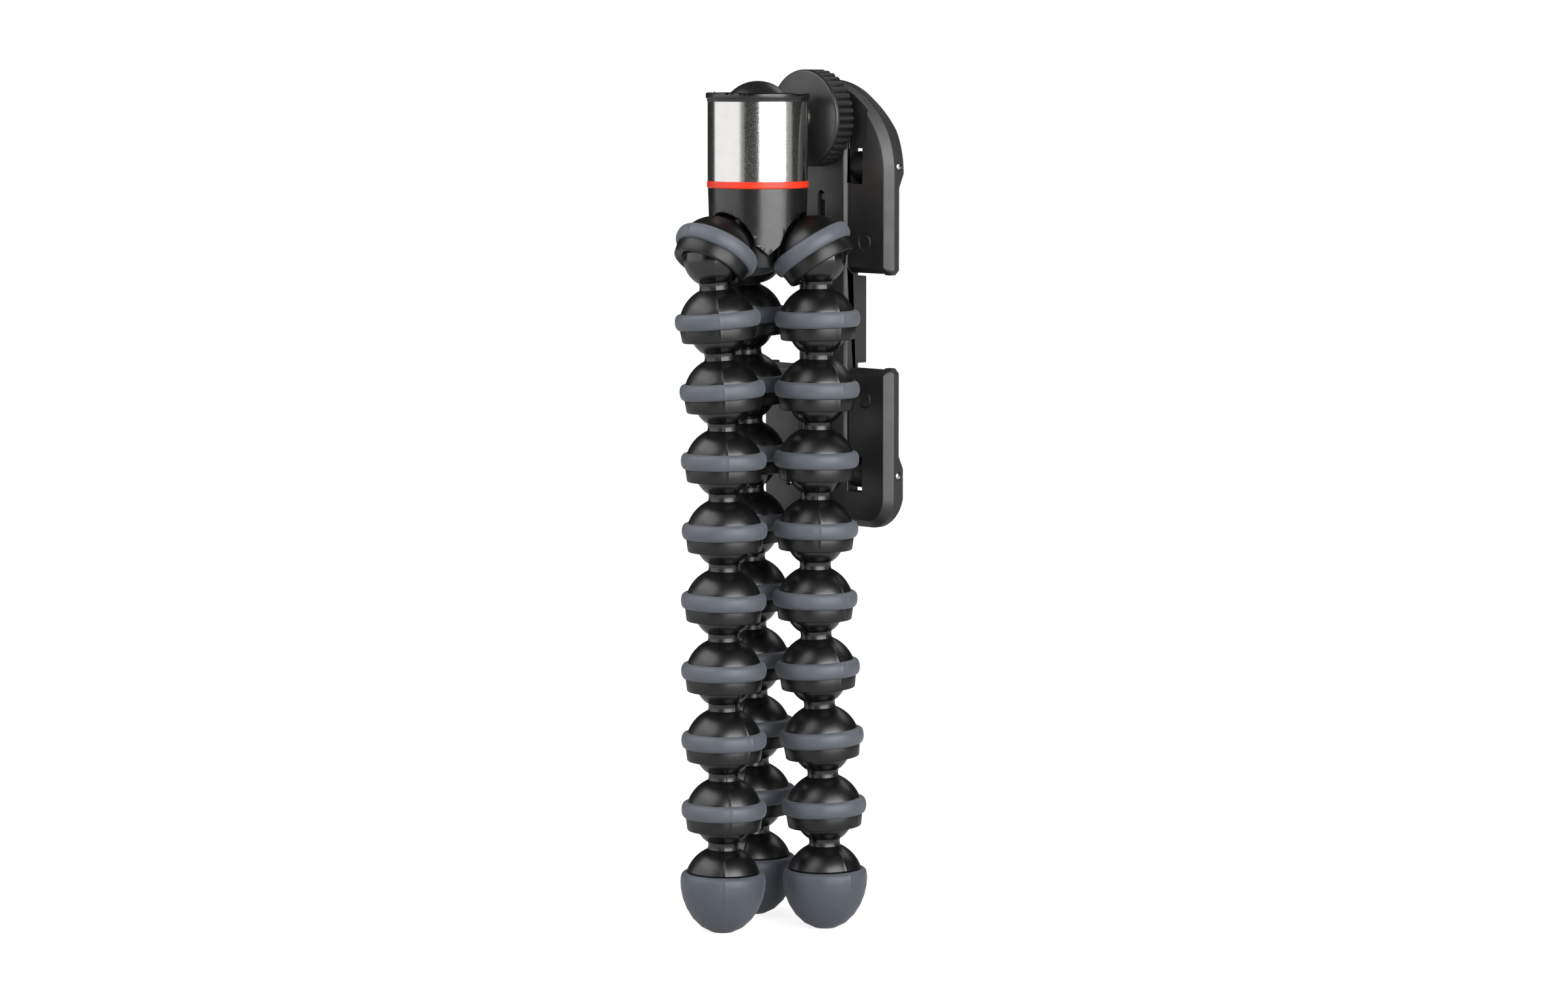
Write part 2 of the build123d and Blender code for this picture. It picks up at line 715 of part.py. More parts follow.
def rail_solid():
    """Rail with a round top about the stud, a raised phone rest and a tunnel."""
    half = RAIL_WIDTH / 2
    outline = rectangle(half, RAIL_LOW_Z, STEM_Z) + Pos(0, STEM_Z) * Circle(half)
    rail = plate(RAIL_X, RAIL_FRONT_X, outline)
    back = rail.faces().sort_by(Axis.X)[0].outer_wire().edges().filter_by(Axis.Z)
    rail = chamfer(back, RAIL_EDGE)
    rest = box(
        (RAIL_FRONT_X, RAIL_FRONT_X + REST_HEIGHT),
        (-half, half),
        (LOWER_JAW_TOP_Z + REST_MARGIN, UPPER_JAW_LOW_Z - REST_MARGIN),
    )
    return rail + rest


def rail_tunnel():
    """Hollow that the tongue and the return springs run in, open at the bottom."""
    low_x = RAIL_X + RAIL_BACK_WALL
    half = TUNNEL_WIDTH / 2
    return box((low_x, low_x + TUNNEL_HEIGHT), (-half, half), (RAIL_LOW_Z - CUT, TUNNEL_TOP_Z))


def guide_slot():
    """Round-ended slot in the back of the rail, as long as the travel of the tongue's key."""
    half = GUIDE_SLOT_WIDTH / 2
    top_z = KEY_Z + TONGUE_KEY_GAP
    low_z = KEY_Z - JAW_TRAVEL - TONGUE_KEY_GAP
    x = (RAIL_X - CUT, RAIL_X + RAIL_BACK_WALL + TONGUE_GAP)
    ends = [along_x(half, *x, z=end) for end in (low_z, top_z)]
    return box(x, (-half, half), (low_z, top_z)) + ends


def upper_jaw():
    """Upper jaw and rail in one moulding."""
    jaw = chamfered_plate(arch_outline())
    edge_band = arch_outline() - arch_outline(CHEEK)
    jaw += cheek_rim(edge_band, UPPER_PIN_Z, -1, UPPER_JAW_TOP_Z - UPPER_RIM_DROP)
    jaw -= along_x(SINK_R, JAW_X - CUT, JAW_X + SINK_DEPTH, z=STEM_Z)
    jaw -= flap_room(UPPER_JAW_LOW_Z - CUT, UPPER_PIN_Z + WINDOW_HALF_HEIGHT)
    jaw += rail_solid()
    jaw -= drum_windows(UPPER_PIN_Z)
    jaw -= rail_tunnel()
    jaw -= guide_slot()
    jaw -= moulding_marks(UPPER_JAW_LOW_Z + MARK_EDGE)
    jaw -= pin_holes(UPPER_PIN_Z)
    jaw -= along_x(INSERT_R, RAIL_X - CUT, RAIL_FRONT_X + CUT, z=STEM_Z)
    return jaw - along_x(INSERT_FLANGE_R, INSERT_FLANGE_X, RAIL_FRONT_X + CUT, z=STEM_Z)


def thread_insert():
    """Metal insert that the stud screws into."""
    flange = (INSERT_FLANGE_X, INSERT_FLANGE_X + INSERT_FLANGE)
    insert = along_x(INSERT_R, RAIL_X, INSERT_FLANGE_X, z=STEM_Z)
    insert += along_x(INSERT_FLANGE_R, *flange, z=STEM_Z)
    return insert - along_x(STUD_R + STUD_FIT, RAIL_X - CUT, RAIL_FRONT_X + CUT, z=STEM_Z)


def phone_rest_pad():
    """Rubber pad on the raised rest between the jaws."""
    low_z = LOWER_JAW_TOP_Z + REST_MARGIN + REST_PAD_MARGIN
    high_z = UPPER_JAW_LOW_Z - REST_MARGIN - REST_PAD_MARGIN
    face = rectangle(RAIL_WIDTH / 2 - REST_PAD_MARGIN, low_z, high_z)
    face = fillet(face.vertices(), REST_PAD_ROUND)
    front = RAIL_FRONT_X + REST_HEIGHT
    return plate(front, front + REST_PAD, face)


def hinge_pin(pin_z):
    """Steel pin through both ears of a jaw."""
    half = JAW_WIDTH / 2 - PIN_INSET
    return along_y(PIN_R, -half, half, PIN_X, pin_z)


def lower_jaw():
    """Sliding jaw with the tongue that runs in the rail."""
    half = RAIL_WIDTH / 2 + SLIDE_GAP
    jaw = chamfered_plate(lower_outline())
    edge_band = lower_outline() - lower_outline(CHEEK)
    jaw += cheek_rim(edge_band, LOWER_PIN_Z, 1, LOWER_JAW_LOW_Z)
    jaw -= flap_room(LOWER_PIN_Z - WINDOW_HALF_HEIGHT, LOWER_JAW_TOP_Z + CUT)
    jaw -= drum_windows(LOWER_PIN_Z)
    channel_z = RAIL_LOW_Z - BRIDGE_GAP
    jaw -= box((JAW_X - CUT, FLAP_FRONT_X + CUT), (-half, half), (channel_z, LOWER_JAW_TOP_Z + CUT))
    jaw -= box((RAIL_FRONT_X, FLAP_FRONT_X + CUT), (-half, half), (LOWER_PIN_Z - DRUM_R, channel_z + CUT))
    tongue_x = RAIL_X + RAIL_BACK_WALL + TONGUE_GAP
    tongue = box(
        (tongue_x, tongue_x + TUNNEL_HEIGHT - 2 * TONGUE_GAP),
        (-TONGUE_WIDTH / 2, TONGUE_WIDTH / 2),
        (channel_z, TONGUE_TOP_Z),
    )
    jaw += tongue + along_x(TONGUE_KEY_R, RAIL_X + RAIL_EDGE, tongue_x, z=KEY_Z)
    jaw -= moulding_marks(LOWER_JAW_TOP_Z - MARK_EDGE)
    return jaw - pin_holes(LOWER_PIN_Z)


def flap(pin_z, side):
    """Folding flap; side is -1 where it hangs below its pin and 1 where it stands above."""
    half = JAW_WIDTH / 2 - CHEEK - FLAP_GAP
    back = RAIL_FRONT_X + FLAP_LIFT
    tip = pin_z + side * FLAP_LENGTH
    face = rectangle(half, min(pin_z, tip), max(pin_z, tip))
    outer_corners = face.vertices().group_by(Axis.Y)[0 if side < 0 else -1]
    face = fillet(outer_corners, FLAP_CORNER)
    solid = plate(back, FLAP_FRONT_X, face)
    solid += along_y(FLAP_BARREL_R, -half, half, PIN_X, pin_z)
    notch = RAIL_WIDTH / 2 + FLAP_GAP
    notch_z = sorted((pin_z - side * DRUM_R, pin_z + side * FLAP_NOTCH))
    solid -= box((back - CUT, FLAP_FRONT_X + CUT), (-notch, notch), notch_z)
    drum = along_y(DRUM_R, notch, notch + DRUM_WIDTH, PIN_X, pin_z)
    drum -= box((FLAP_FRONT_X, FLAP_FRONT_X + DRUM_R), (notch, notch + DRUM_WIDTH), (pin_z - DRUM_R, pin_z + DRUM_R))
    solid += both_sides(drum)
    lip_z = sorted((tip, tip - side * FLAP_LIP_WIDTH))
    inset = half - FLAP_CORNER
    lip = box((back - FLAP_LIP, back), (RAIL_WIDTH / 2 + FLAP_GAP, inset), lip_z)
    solid += both_sides(lip)
    return solid - along_y(PIN_R + PIN_FIT, -half - CUT, half + CUT, PIN_X, pin_z)


def flap_pads(pin_z, side):
    """Rubber pads on the side of a flap that meets the phone."""
    half = JAW_WIDTH / 2 - CHEEK - FLAP_GAP
    back = RAIL_FRONT_X + FLAP_LIFT
    start = pin_z + side * FLAP_PAD_START
    end = pin_z + side * (FLAP_LENGTH - FLAP_LIP_WIDTH - FLAP_PAD_END)
    width = (RAIL_WIDTH / 2 + FLAP_GAP, half - FLAP_PAD_INSET)
    return both_sides(box((back - FLAP_PAD, back), width, sorted((start, end))))


def return_springs():
    """Two slim springs beside the tongue, as the tubes that their coils fill."""
    x = RAIL_X + RAIL_BACK_WALL + TUNNEL_HEIGHT / 2
    low_z = RAIL_LOW_Z - BRIDGE_GAP
    tube = ring_solid(RETURN_SPRING_R, RETURN_SPRING_R - RETURN_SPRING_WALL, low_z, TUNNEL_TOP_Z)
    return both_sides(Pos(x, RETURN_SPRING_OFFSET, 0) * tube)


def build_nodes():
    """All nodes by name, each a list of solids."""
    nodes = {
        "hub_cover": [hub_cover()],
        "hub_core": [hub_core()],
        "shoulder_rings": shoulder_rings(),
        "hub_screw": [hub_screw()],
        "trim_ring": [trim_ring()],
        "steel_band": [steel_band()],
        "head_socket": [head_socket()],
        "friction_cup": [friction_cup()],
        "friction_spring": [friction_spring()],
        "head_ball": [head_ball()],
        "camera_stud": [camera_stud()],
        "locking_wheel": [locking_wheel()],
        "upper_jaw": [upper_jaw()],
        "thread_insert": [thread_insert()],
        "phone_rest_pad": [phone_rest_pad()],
        "upper_hinge_pin": [hinge_pin(UPPER_PIN_Z)],
        "lower_jaw": [lower_jaw()],
        "lower_hinge_pin": [hinge_pin(LOWER_PIN_Z)],
        "upper_flap": [flap(UPPER_PIN_Z, -1)],
        "upper_flap_pads": flap_pads(UPPER_PIN_Z, -1),
        "lower_flap": [flap(LOWER_PIN_Z, 1)],
        "lower_flap_pads": flap_pads(LOWER_PIN_Z, 1),
        "return_springs": return_springs(),
    }
    for leg in LEG_AZIMUTHS:
        nodes.update(leg_parts(leg))
    return nodes


def export_nodes(nodes):
    """Write one STEP file per node."""
    os.makedirs("parts", exist_ok=True)
    for name, pieces in nodes.items():
        solids = [solid for piece in pieces for solid in piece.solids()]
        shape = solids[0] if len(solids) == 1 else Compound(children=solids)
        shape.label = name
        export_step(shape, f"parts/{name}.step")


export_nodes(build_nodes())
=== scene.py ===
# %% [markdown]
# # Dressing a flexible leg tripod
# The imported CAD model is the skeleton: it says where every piece is and which body it moves with.
# This lesson models the pieces that show, gives each one a finish, and sets up a small photo studio.
# Everything is in metres, and the floor is at Z = 0.

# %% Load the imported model
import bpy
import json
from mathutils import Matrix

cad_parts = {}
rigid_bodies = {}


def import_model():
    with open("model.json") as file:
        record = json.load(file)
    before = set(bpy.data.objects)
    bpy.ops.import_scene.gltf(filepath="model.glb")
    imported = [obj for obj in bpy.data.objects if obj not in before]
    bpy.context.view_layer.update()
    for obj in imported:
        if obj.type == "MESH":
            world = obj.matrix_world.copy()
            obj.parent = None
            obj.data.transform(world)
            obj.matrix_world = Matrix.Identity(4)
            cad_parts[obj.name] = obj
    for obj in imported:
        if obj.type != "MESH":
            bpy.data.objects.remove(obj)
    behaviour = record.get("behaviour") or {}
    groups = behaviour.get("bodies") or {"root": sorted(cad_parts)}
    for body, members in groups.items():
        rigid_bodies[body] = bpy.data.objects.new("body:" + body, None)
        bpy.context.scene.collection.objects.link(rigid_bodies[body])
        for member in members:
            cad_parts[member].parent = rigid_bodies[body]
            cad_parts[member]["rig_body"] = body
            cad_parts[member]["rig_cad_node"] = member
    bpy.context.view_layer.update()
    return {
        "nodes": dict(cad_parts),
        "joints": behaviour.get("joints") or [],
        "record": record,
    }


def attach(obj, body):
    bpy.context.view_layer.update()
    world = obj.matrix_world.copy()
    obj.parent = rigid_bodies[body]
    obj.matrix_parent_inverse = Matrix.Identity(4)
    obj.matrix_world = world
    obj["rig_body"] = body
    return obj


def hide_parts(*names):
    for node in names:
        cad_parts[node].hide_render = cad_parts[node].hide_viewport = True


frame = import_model()

# %% Modules and units
import json
import math

import bmesh
import bpy
from mathutils import Matrix, Vector

MM = 0.001
JOINTS = {joint["name"]: Vector(joint["pos_m"]) for joint in frame["joints"] if "pos_m" in joint}
MOUNTS = {mount["name"]: Vector(mount["pos_m"]) for mount in frame["record"]["mounts"]}
print("mounts:", sorted(MOUNTS))

# %% [markdown]
# ## The camera first
# A camera that stands where the photographer stood makes every later comparison honest.
# Its place, lens and tilt were worked out from the ring centres in the photograph.
# The frame is 2408 by 1515 pixels, and a 36 mm wide sensor gives the lens its length.

# %% Camera
CAMERA_AZIMUTH = math.radians(-43.0)
CAMERA_DISTANCE = 0.8875
CAMERA_HEIGHT = 0.17337
CAMERA_DOWN = math.radians(5.616)
CAMERA_TURN = math.radians(0.332)
SENSOR_WIDTH = 36.0
LENS = 103.57
NEAREST_SEEN = 0.05


def towards_camera(degrees_right=0.0):
    """Level unit vector from the tripod to the camera, turned to the right as the camera sees it."""
    angle = CAMERA_AZIMUTH + math.radians(degrees_right)
    return Vector((math.sin(angle), -math.cos(angle), 0))


lens = bpy.data.cameras.new("photo_camera")
lens.sensor_fit = "HORIZONTAL"
lens.sensor_width = SENSOR_WIDTH
lens.lens = LENS
lens.clip_start = NEAREST_SEEN
camera = bpy.data.objects.new("photo_camera", lens)
bpy.context.scene.collection.objects.link(camera)
camera.location = towards_camera() * CAMERA_DISTANCE + Vector((0, 0, CAMERA_HEIGHT))
camera.rotation_euler = (math.pi / 2 - CAMERA_DOWN, 0, CAMERA_AZIMUTH - CAMERA_TURN)
bpy.context.scene.camera = camera
print("camera at", [round(value, 3) for value in camera.location])

# %% [markdown]
# ## Modelling helpers
# An operator works on whatever is selected, so each helper starts from a clean selection.
# Most parts of this tripod are turned, so one helper draws an outline and spins it.
# The outline starts as a plane merged to a single vertex, which is then extruded from point to point.

# %% Selection helpers
TINY = 1e-6
RING_SLACK = 0.02 * MM


def only(piece):
    """Select one object and make it active."""
    bpy.ops.object.select_all(action="DESELECT")
    piece.select_set(True)
    bpy.context.view_layer.objects.active = piece


def select_where(piece, kind, test):
    """In edit mode, select the verts, edges or faces that pass a test, and count them."""
    modes = {"verts": "VERT", "edges": "EDGE", "faces": "FACE"}
    bpy.ops.mesh.select_mode(type=modes[kind])
    bpy.ops.mesh.select_all(action="DESELECT")
    mesh = bmesh.from_edit_mesh(piece.data)
    mesh.normal_update()
    chosen = [item for item in getattr(mesh, kind) if test(item)]
    for item in chosen:
        item.select_set(True)
    mesh.select_flush_mode()
    bmesh.update_edit_mesh(piece.data)
    return len(chosen)


def on_ring(radius, height):
    """Test for an edge that lies on a ring about Z."""
    def test(edge):
        return all(
            abs(math.hypot(v.co.x, v.co.y) - radius) < RING_SLACK and abs(v.co.z - height) < RING_SLACK
            for v in edge.verts
        )
    return test


def round_rings(piece, places, width, segments):
    """Bevel the rings of a turned piece that lie at (radius, height) places, in millimetres."""
    tests = [on_ring(radius * MM, height * MM) for radius, height in places]
    select_where(piece, "edges", lambda edge: any(test(edge) for test in tests))
    bpy.ops.mesh.bevel(offset=width * MM, segments=segments, profile=0.5, affect="EDGES")


def smooth(piece, degrees=32.0):
    """Smooth shading that keeps the edges sharper than an angle."""
    only(piece)
    bpy.ops.object.shade_smooth_by_angle(angle=math.radians(degrees))
    return piece


def keep_flat(piece):
    """Weight the normals by face size, so that flat faces stay flat up to their bevels."""
    only(piece)
    bpy.ops.object.modifier_add(type="WEIGHTED_NORMAL")
    piece.modifiers[-1].keep_sharp = True
    bpy.ops.object.modifier_apply(modifier=piece.modifiers[-1].name)
    return piece


print("helpers ready")

# %% The lathe
def arc(centre, radius, start, end, steps):
    """(radius, height) points on a circle whose centre is on the axis, from one angle to another."""
    angles = [math.radians(start + (end - start) * i / steps) for i in range(steps + 1)]
    return [(radius * math.cos(a), centre + radius * math.sin(a)) for a in angles]


def turn(name, outline, steps=64, rounds=()):
    """Spin an outline of (radius, height) points in millimetres about Z, in edit mode."""
    first = Vector((outline[0][0], 0, outline[0][1])) * MM
    bpy.ops.object.select_all(action="DESELECT")
    bpy.ops.mesh.primitive_plane_add(size=MM, location=first)
    piece = bpy.context.active_object
    piece.name = name
    bpy.ops.object.transform_apply(location=True, rotation=True, scale=True)
    bpy.ops.object.mode_set(mode="EDIT")
    bpy.ops.mesh.select_mode(type="VERT")
    bpy.ops.mesh.select_all(action="SELECT")
    bpy.ops.mesh.merge(type="CENTER")
    for (r0, z0), (r1, z1) in zip(outline, outline[1:]):
        step = ((r1 - r0) * MM, 0, (z1 - z0) * MM)
        bpy.ops.mesh.extrude_region_move(TRANSFORM_OT_translate={"value": step})
    bpy.ops.mesh.select_all(action="SELECT")
    bpy.ops.mesh.spin(steps=steps, angle=2 * math.pi, center=(0, 0, 0), axis=(0, 0, 1))
    bpy.ops.mesh.select_all(action="SELECT")
    bpy.ops.mesh.remove_doubles(threshold=2 * TINY)
    bpy.ops.mesh.normals_make_consistent(inside=False)
    for places, width, segments in rounds:
        round_rings(piece, places, width, segments)
    bpy.ops.object.mode_set(mode="OBJECT")
    print(name, len(piece.data.vertices), "vertices")
    return piece


# %% Copies in their places
def axes(centre, up, facing):
    """Matrix that stands a piece at a centre, with Z along up and X towards facing."""
    z = up.normalized()
    x = (facing - z * facing.dot(z)).normalized()
    y = z.cross(x)
    turned = Matrix((x, y, z)).transposed().to_4x4()
    return Matrix.Translation(centre) @ turned


def put(model, name, matrix):
    """Duplicate a model with its own mesh and apply its place to that mesh."""
    only(model)
    bpy.ops.object.duplicate(linked=False)
    piece = bpy.context.active_object
    piece.name = name
    piece.matrix_world = matrix
    bpy.ops.object.transform_apply(location=True, rotation=True, scale=True)
    return piece


def dress(piece, body, nodes=(), materials=()):
    """Give a piece its body, the nodes that it stands for and its materials."""
    if materials:
        piece.data.materials.clear()
        for material in materials:
            piece.data.materials.append(material)
    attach(piece, body)
    if nodes:
        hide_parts(*nodes)


print("lathe and copies ready")

# %% [markdown]
# ## Finishes
# Every finish is a small node tree on a Principled shader, with its pattern on Object coordinates.
# Each object sits at the origin, so those coordinates are metres, and a scale of 5000 draws grains of 0.2 mm.
# Colours, roughness and bump come from noise; numbers that never change are typed into the shader.

# %% Node helpers
def finish(name, colour, roughness, **sockets):
    """New material with a Principled shader, and its tree and shader."""
    material = bpy.data.materials.new(name)
    material.use_nodes = True
    tree = material.node_tree
    shader = tree.nodes["Principled BSDF"]
    shader.inputs["Base Color"].default_value = (*colour, 1)
    shader.inputs["Roughness"].default_value = roughness
    for socket, value in sockets.items():
        shader.inputs[socket.replace("_", " ")].default_value = value
    return material, tree, shader


def noise(tree, scale, detail, stretch=(1, 1, 1)):
    """Noise on Object coordinates, in cycles per metre."""
    place = tree.nodes.new("ShaderNodeTexCoord")
    mapping = tree.nodes.new("ShaderNodeMapping")
    mapping.inputs["Scale"].default_value = stretch
    texture = tree.nodes.new("ShaderNodeTexNoise")
    texture.inputs["Scale"].default_value = scale
    texture.inputs["Detail"].default_value = detail
    tree.links.new(place.outputs["Object"], mapping.inputs["Vector"])
    tree.links.new(mapping.outputs["Vector"], texture.inputs["Vector"])
    return texture.outputs["Fac"]


def spread(tree, value, low, high, start=0.3, end=0.7):
    """Map a noise onto a range of numbers."""
    node = tree.nodes.new("ShaderNodeMapRange")
    node.inputs["From Min"].default_value = start
    node.inputs["From Max"].default_value = end
    node.inputs["To Min"].default_value = low
    node.inputs["To Max"].default_value = high
    tree.links.new(value, node.inputs["Value"])
    return node.outputs["Result"]


def blend_colours(tree, value, first, second):
    """Mix two colours by a number."""
    node = tree.nodes.new("ShaderNodeMix")
    node.data_type = "RGBA"
    node.inputs["A"].default_value = (*first, 1)
    node.inputs["B"].default_value = (*second, 1)
    tree.links.new(value, node.inputs["Factor"])
    return node.outputs["Result"]


def bump(tree, height, depth, strength):
    """Bump of a depth in metres, made from a noise."""
    node = tree.nodes.new("ShaderNodeBump")
    node.inputs["Distance"].default_value = depth
    node.inputs["Strength"].default_value = strength
    tree.links.new(height, node.inputs["Height"])
    return node.outputs["Normal"]


def grained(parts, colours, shine, slow, fine, depth, strength=0.5, shine_from_fine=False):
    """Finish a material: two colours mixed by slow noise, shine by either noise, and a bump in mm."""
    material, tree, shader = parts
    tree.links.new(blend_colours(tree, slow, *colours), shader.inputs["Base Color"])
    tree.links.new(spread(tree, fine if shine_from_fine else slow, *shine), shader.inputs["Roughness"])
    tree.links.new(bump(tree, fine, depth * MM, strength), shader.inputs["Normal"])
    return material


print("node helpers ready")

# %% [markdown]
# ## Black mouldings
# The links are one black plastic in three finishes: polished balls, semi-gloss domes and satin collars.
# Hub, head, wheel and clamp have blacks of their own.
# One function makes them all, because only the shade, the shine and the grain differ.
# A slow noise varies the shine like handling does, and a fine one gives the surface its tooth.

# %% Black plastic
BLUE_OF_BLACK, LIGHTER, DARKER = 1.06, 1.3, 0.8
HANDLED_PATCHES, TOOTH = 320, 0.6


def black_plastic(name, shade, shine, grain, depth, gloss=0.9):
    """Black moulding: shade of grey, range of roughness, grain size, its depth in mm and the gloss."""
    parts = finish(name, (shade, shade, shade * BLUE_OF_BLACK), shine[0], Specular_IOR_Level=gloss)
    slow = noise(parts[1], HANDLED_PATCHES, 3)
    fine = noise(parts[1], 1 / (grain * MM), 2)
    shades = ((shade * LIGHTER,) * 3, (shade * DARKER,) * 3)
    return grained(parts, shades, shine, slow, fine, depth, TOOTH)


BALL_BLACK = black_plastic("polished_black", 0.002, (0.18, 0.24), 0.5, 0.003)
DOME_BLACK = black_plastic("semi_gloss_black", 0.002, (0.31, 0.38), 0.25, 0.003)
COLLAR_BLACK = black_plastic("satin_black", 0.003, (0.34, 0.42), 0.2, 0.004, 0.6)
HUB_BLACK = black_plastic("hub_satin_black", 0.003, (0.23, 0.29), 0.22, 0.004)
FLANGE_BLACK = black_plastic("flange_black", 0.003, (0.25, 0.31), 0.3, 0.003)
HEAD_BLACK = black_plastic("head_ball_black", 0.008, (0.32, 0.40), 0.4, 0.004)
WHEEL_BLACK = black_plastic("wheel_black", 0.007, (0.36, 0.44), 0.25, 0.004)
RIB_BLACK = black_plastic("wheel_rib_black", 0.007, (0.40, 0.48), 0.2, 0.006)
JAW_BLACK = black_plastic("sparked_black", 0.003, (0.44, 0.52), 0.16, 0.014)
RAIL_BLACK = black_plastic("rail_black", 0.006, (0.42, 0.52), 0.16, 0.010)
print("materials so far:", len(bpy.data.materials))

# %% Rubber
BLOOM_PATCHES, RUBBER_GRAINS = 260, 4200
RUBBER_SHINE, RUBBER_DEPTH, RUBBER_TOOTH = (0.42, 0.54), 0.008, 0.7


def rubber(name, colour, pale):
    """Satin rubber with a dusty bloom."""
    parts = finish(name, colour, 0.5, Specular_IOR_Level=0.6, Sheen_Weight=0.12, Sheen_Roughness=0.5)
    slow = noise(parts[1], BLOOM_PATCHES, 4)
    fine = noise(parts[1], RUBBER_GRAINS, 2)
    return grained(parts, (colour, pale), RUBBER_SHINE, slow, fine, RUBBER_DEPTH, RUBBER_TOOTH)


GRIP_RUBBER = rubber("grip_rubber", (0.086, 0.097, 0.116), (0.115, 0.128, 0.150))
FOOT_RUBBER = rubber("foot_rubber", (0.066, 0.076, 0.096), (0.092, 0.104, 0.128))
PAD_RUBBER = rubber("pad_rubber", (0.030, 0.031, 0.033), (0.045, 0.046, 0.048))
print("materials so far:", len(bpy.data.materials))

# %% Metals and the red trim
TARNISH_PATCHES, DULLED = 400, 0.88


def metal(name, colour, shine, grain, depth, stretch=(1, 1, 1)):
    """Bare metal: range of roughness, grain size and its depth in mm, stretched along the brushing."""
    parts = finish(name, colour, shine[0], Metallic=1.0)
    slow = noise(parts[1], TARNISH_PATCHES, 3)
    fine = noise(parts[1], 1 / (grain * MM), 3, stretch)
    dull = tuple(channel * DULLED for channel in colour)
    return grained(parts, (colour, dull), shine, slow, fine, depth, shine_from_fine=True)


BAND_STEEL = metal("brushed_steel", (0.80, 0.79, 0.77), (0.10, 0.24), 0.16, 0.008, (1, 1, 0.5))
PIN_STEEL = metal("pin_steel", (0.78, 0.76, 0.72), (0.15, 0.3), 0.2, 0.01)
DARK_STEEL = metal("oiled_steel", (0.22, 0.22, 0.23), (0.25, 0.4), 0.2, 0.008)
INSERT_BRASS = metal("insert_brass", (0.72, 0.52, 0.24), (0.2, 0.35), 0.3, 0.008)

red = finish("trim_red", (0.95, 0.045, 0.012), 0.32)
slow, fine = noise(red[1], 300, 3), noise(red[1], 3500, 2)
TRIM_RED = grained(red, ((1.0, 0.052, 0.015), (0.88, 0.036, 0.010)), (0.28, 0.4), slow, fine, 0.004)

white = finish("bearing_plastic", (0.72, 0.71, 0.66), 0.4)
slow, fine = noise(white[1], 350, 3), noise(white[1], 3000, 2)
BEARING_WHITE = grained(white, ((0.76, 0.75, 0.70), (0.66, 0.65, 0.60)), (0.35, 0.5), slow, fine, 0.005)
print("materials in all:", len(bpy.data.materials))

# %% [markdown]
# ## One link of a leg
# A link is a ball on a short neck over a dome, with a socket underneath for the next ball.
# It could be a sphere and a few cylinders, but soft fillets and a rounded collar make it look moulded.
# So its whole outline is spun at once, the corners are bevelled, and a fine mould seam runs down both sides.

# %% Link sizes in millimetres
PITCH = 13.8
BALL_R, BALL_FLAT_R = 5.8, 4.4
NECK_R, NECK_FILLET, NECK_HALF = 3.05, 0.55, 0.22
FILLET_IN, FILLET_DOWN = 0.22 * NECK_FILLET, 0.42 * NECK_FILLET
DOME_R, DOME_RISE = 7.64, 0.66
RING_R, RING_LOW, RING_TOP = 8.42, 0.1, 3.3
SEAT_R = math.sqrt(DOME_R**2 - (RING_TOP - DOME_RISE) ** 2)
COLLAR_R, COLLAR_LOW_R, COLLAR_LOW = 7.56, 7.25, -2.4
MOUTH_R, LIP_R, LIP_LOW, SOCKET_R = 6.6, 5.69, -1.9, 6.0
COLLAR_ROUND, MOUTH_ROUND = 0.32, 0.1
SOCKET_ROUNDS = [
    ([(COLLAR_LOW_R, COLLAR_LOW)], COLLAR_ROUND, 3),
    ([(MOUTH_R, COLLAR_LOW), (COLLAR_R, RING_LOW)], MOUTH_ROUND, 2),
]
BALL_STEPS, DOME_STEPS = 14, 12


def angle_at(radius, reach):
    """Angle on a circle at which a point is a given reach from the axis."""
    return math.degrees(math.acos(reach / radius))


def upper_outline():
    """Ball, neck and dome, from the axis down to the ring's seat."""
    edge = angle_at(BALL_R, BALL_FLAT_R)
    fillet = NECK_R + NECK_FILLET
    ball = arc(PITCH, BALL_R, edge, -angle_at(BALL_R, fillet), BALL_STEPS)
    dome = arc(DOME_RISE, DOME_R, angle_at(DOME_R, fillet), angle_at(DOME_R, SEAT_R), DOME_STEPS)
    neck_high, neck_low = ball[-1][1], dome[0][1]
    middle = (neck_high + neck_low) / 2
    waist = [
        (NECK_R + FILLET_IN, neck_high - FILLET_DOWN),
        (NECK_R, middle + NECK_HALF),
        (NECK_R, middle - NECK_HALF),
        (NECK_R + FILLET_IN, neck_low + FILLET_DOWN),
    ]
    return [(0, ball[0][1]), *ball, *waist, *dome]


def socket_outline():
    """From the ring's seat round the collar and into the socket, up to its pole."""
    mouth = -math.degrees(math.asin(-LIP_LOW / SOCKET_R))
    return [
        (SEAT_R, RING_LOW),
        (COLLAR_R, RING_LOW),
        (COLLAR_LOW_R, COLLAR_LOW),
        (MOUTH_R, COLLAR_LOW),
        (LIP_R, LIP_LOW),
        *arc(0, SOCKET_R, mouth, 90, BALL_STEPS)[1:],
    ]


print("seat radius", round(SEAT_R, 3), "mm")

# %% Mould seam
SEAM_HALF, SEAM_RISE = 0.07, 0.035
LEAST_OUTWARD = 0.05


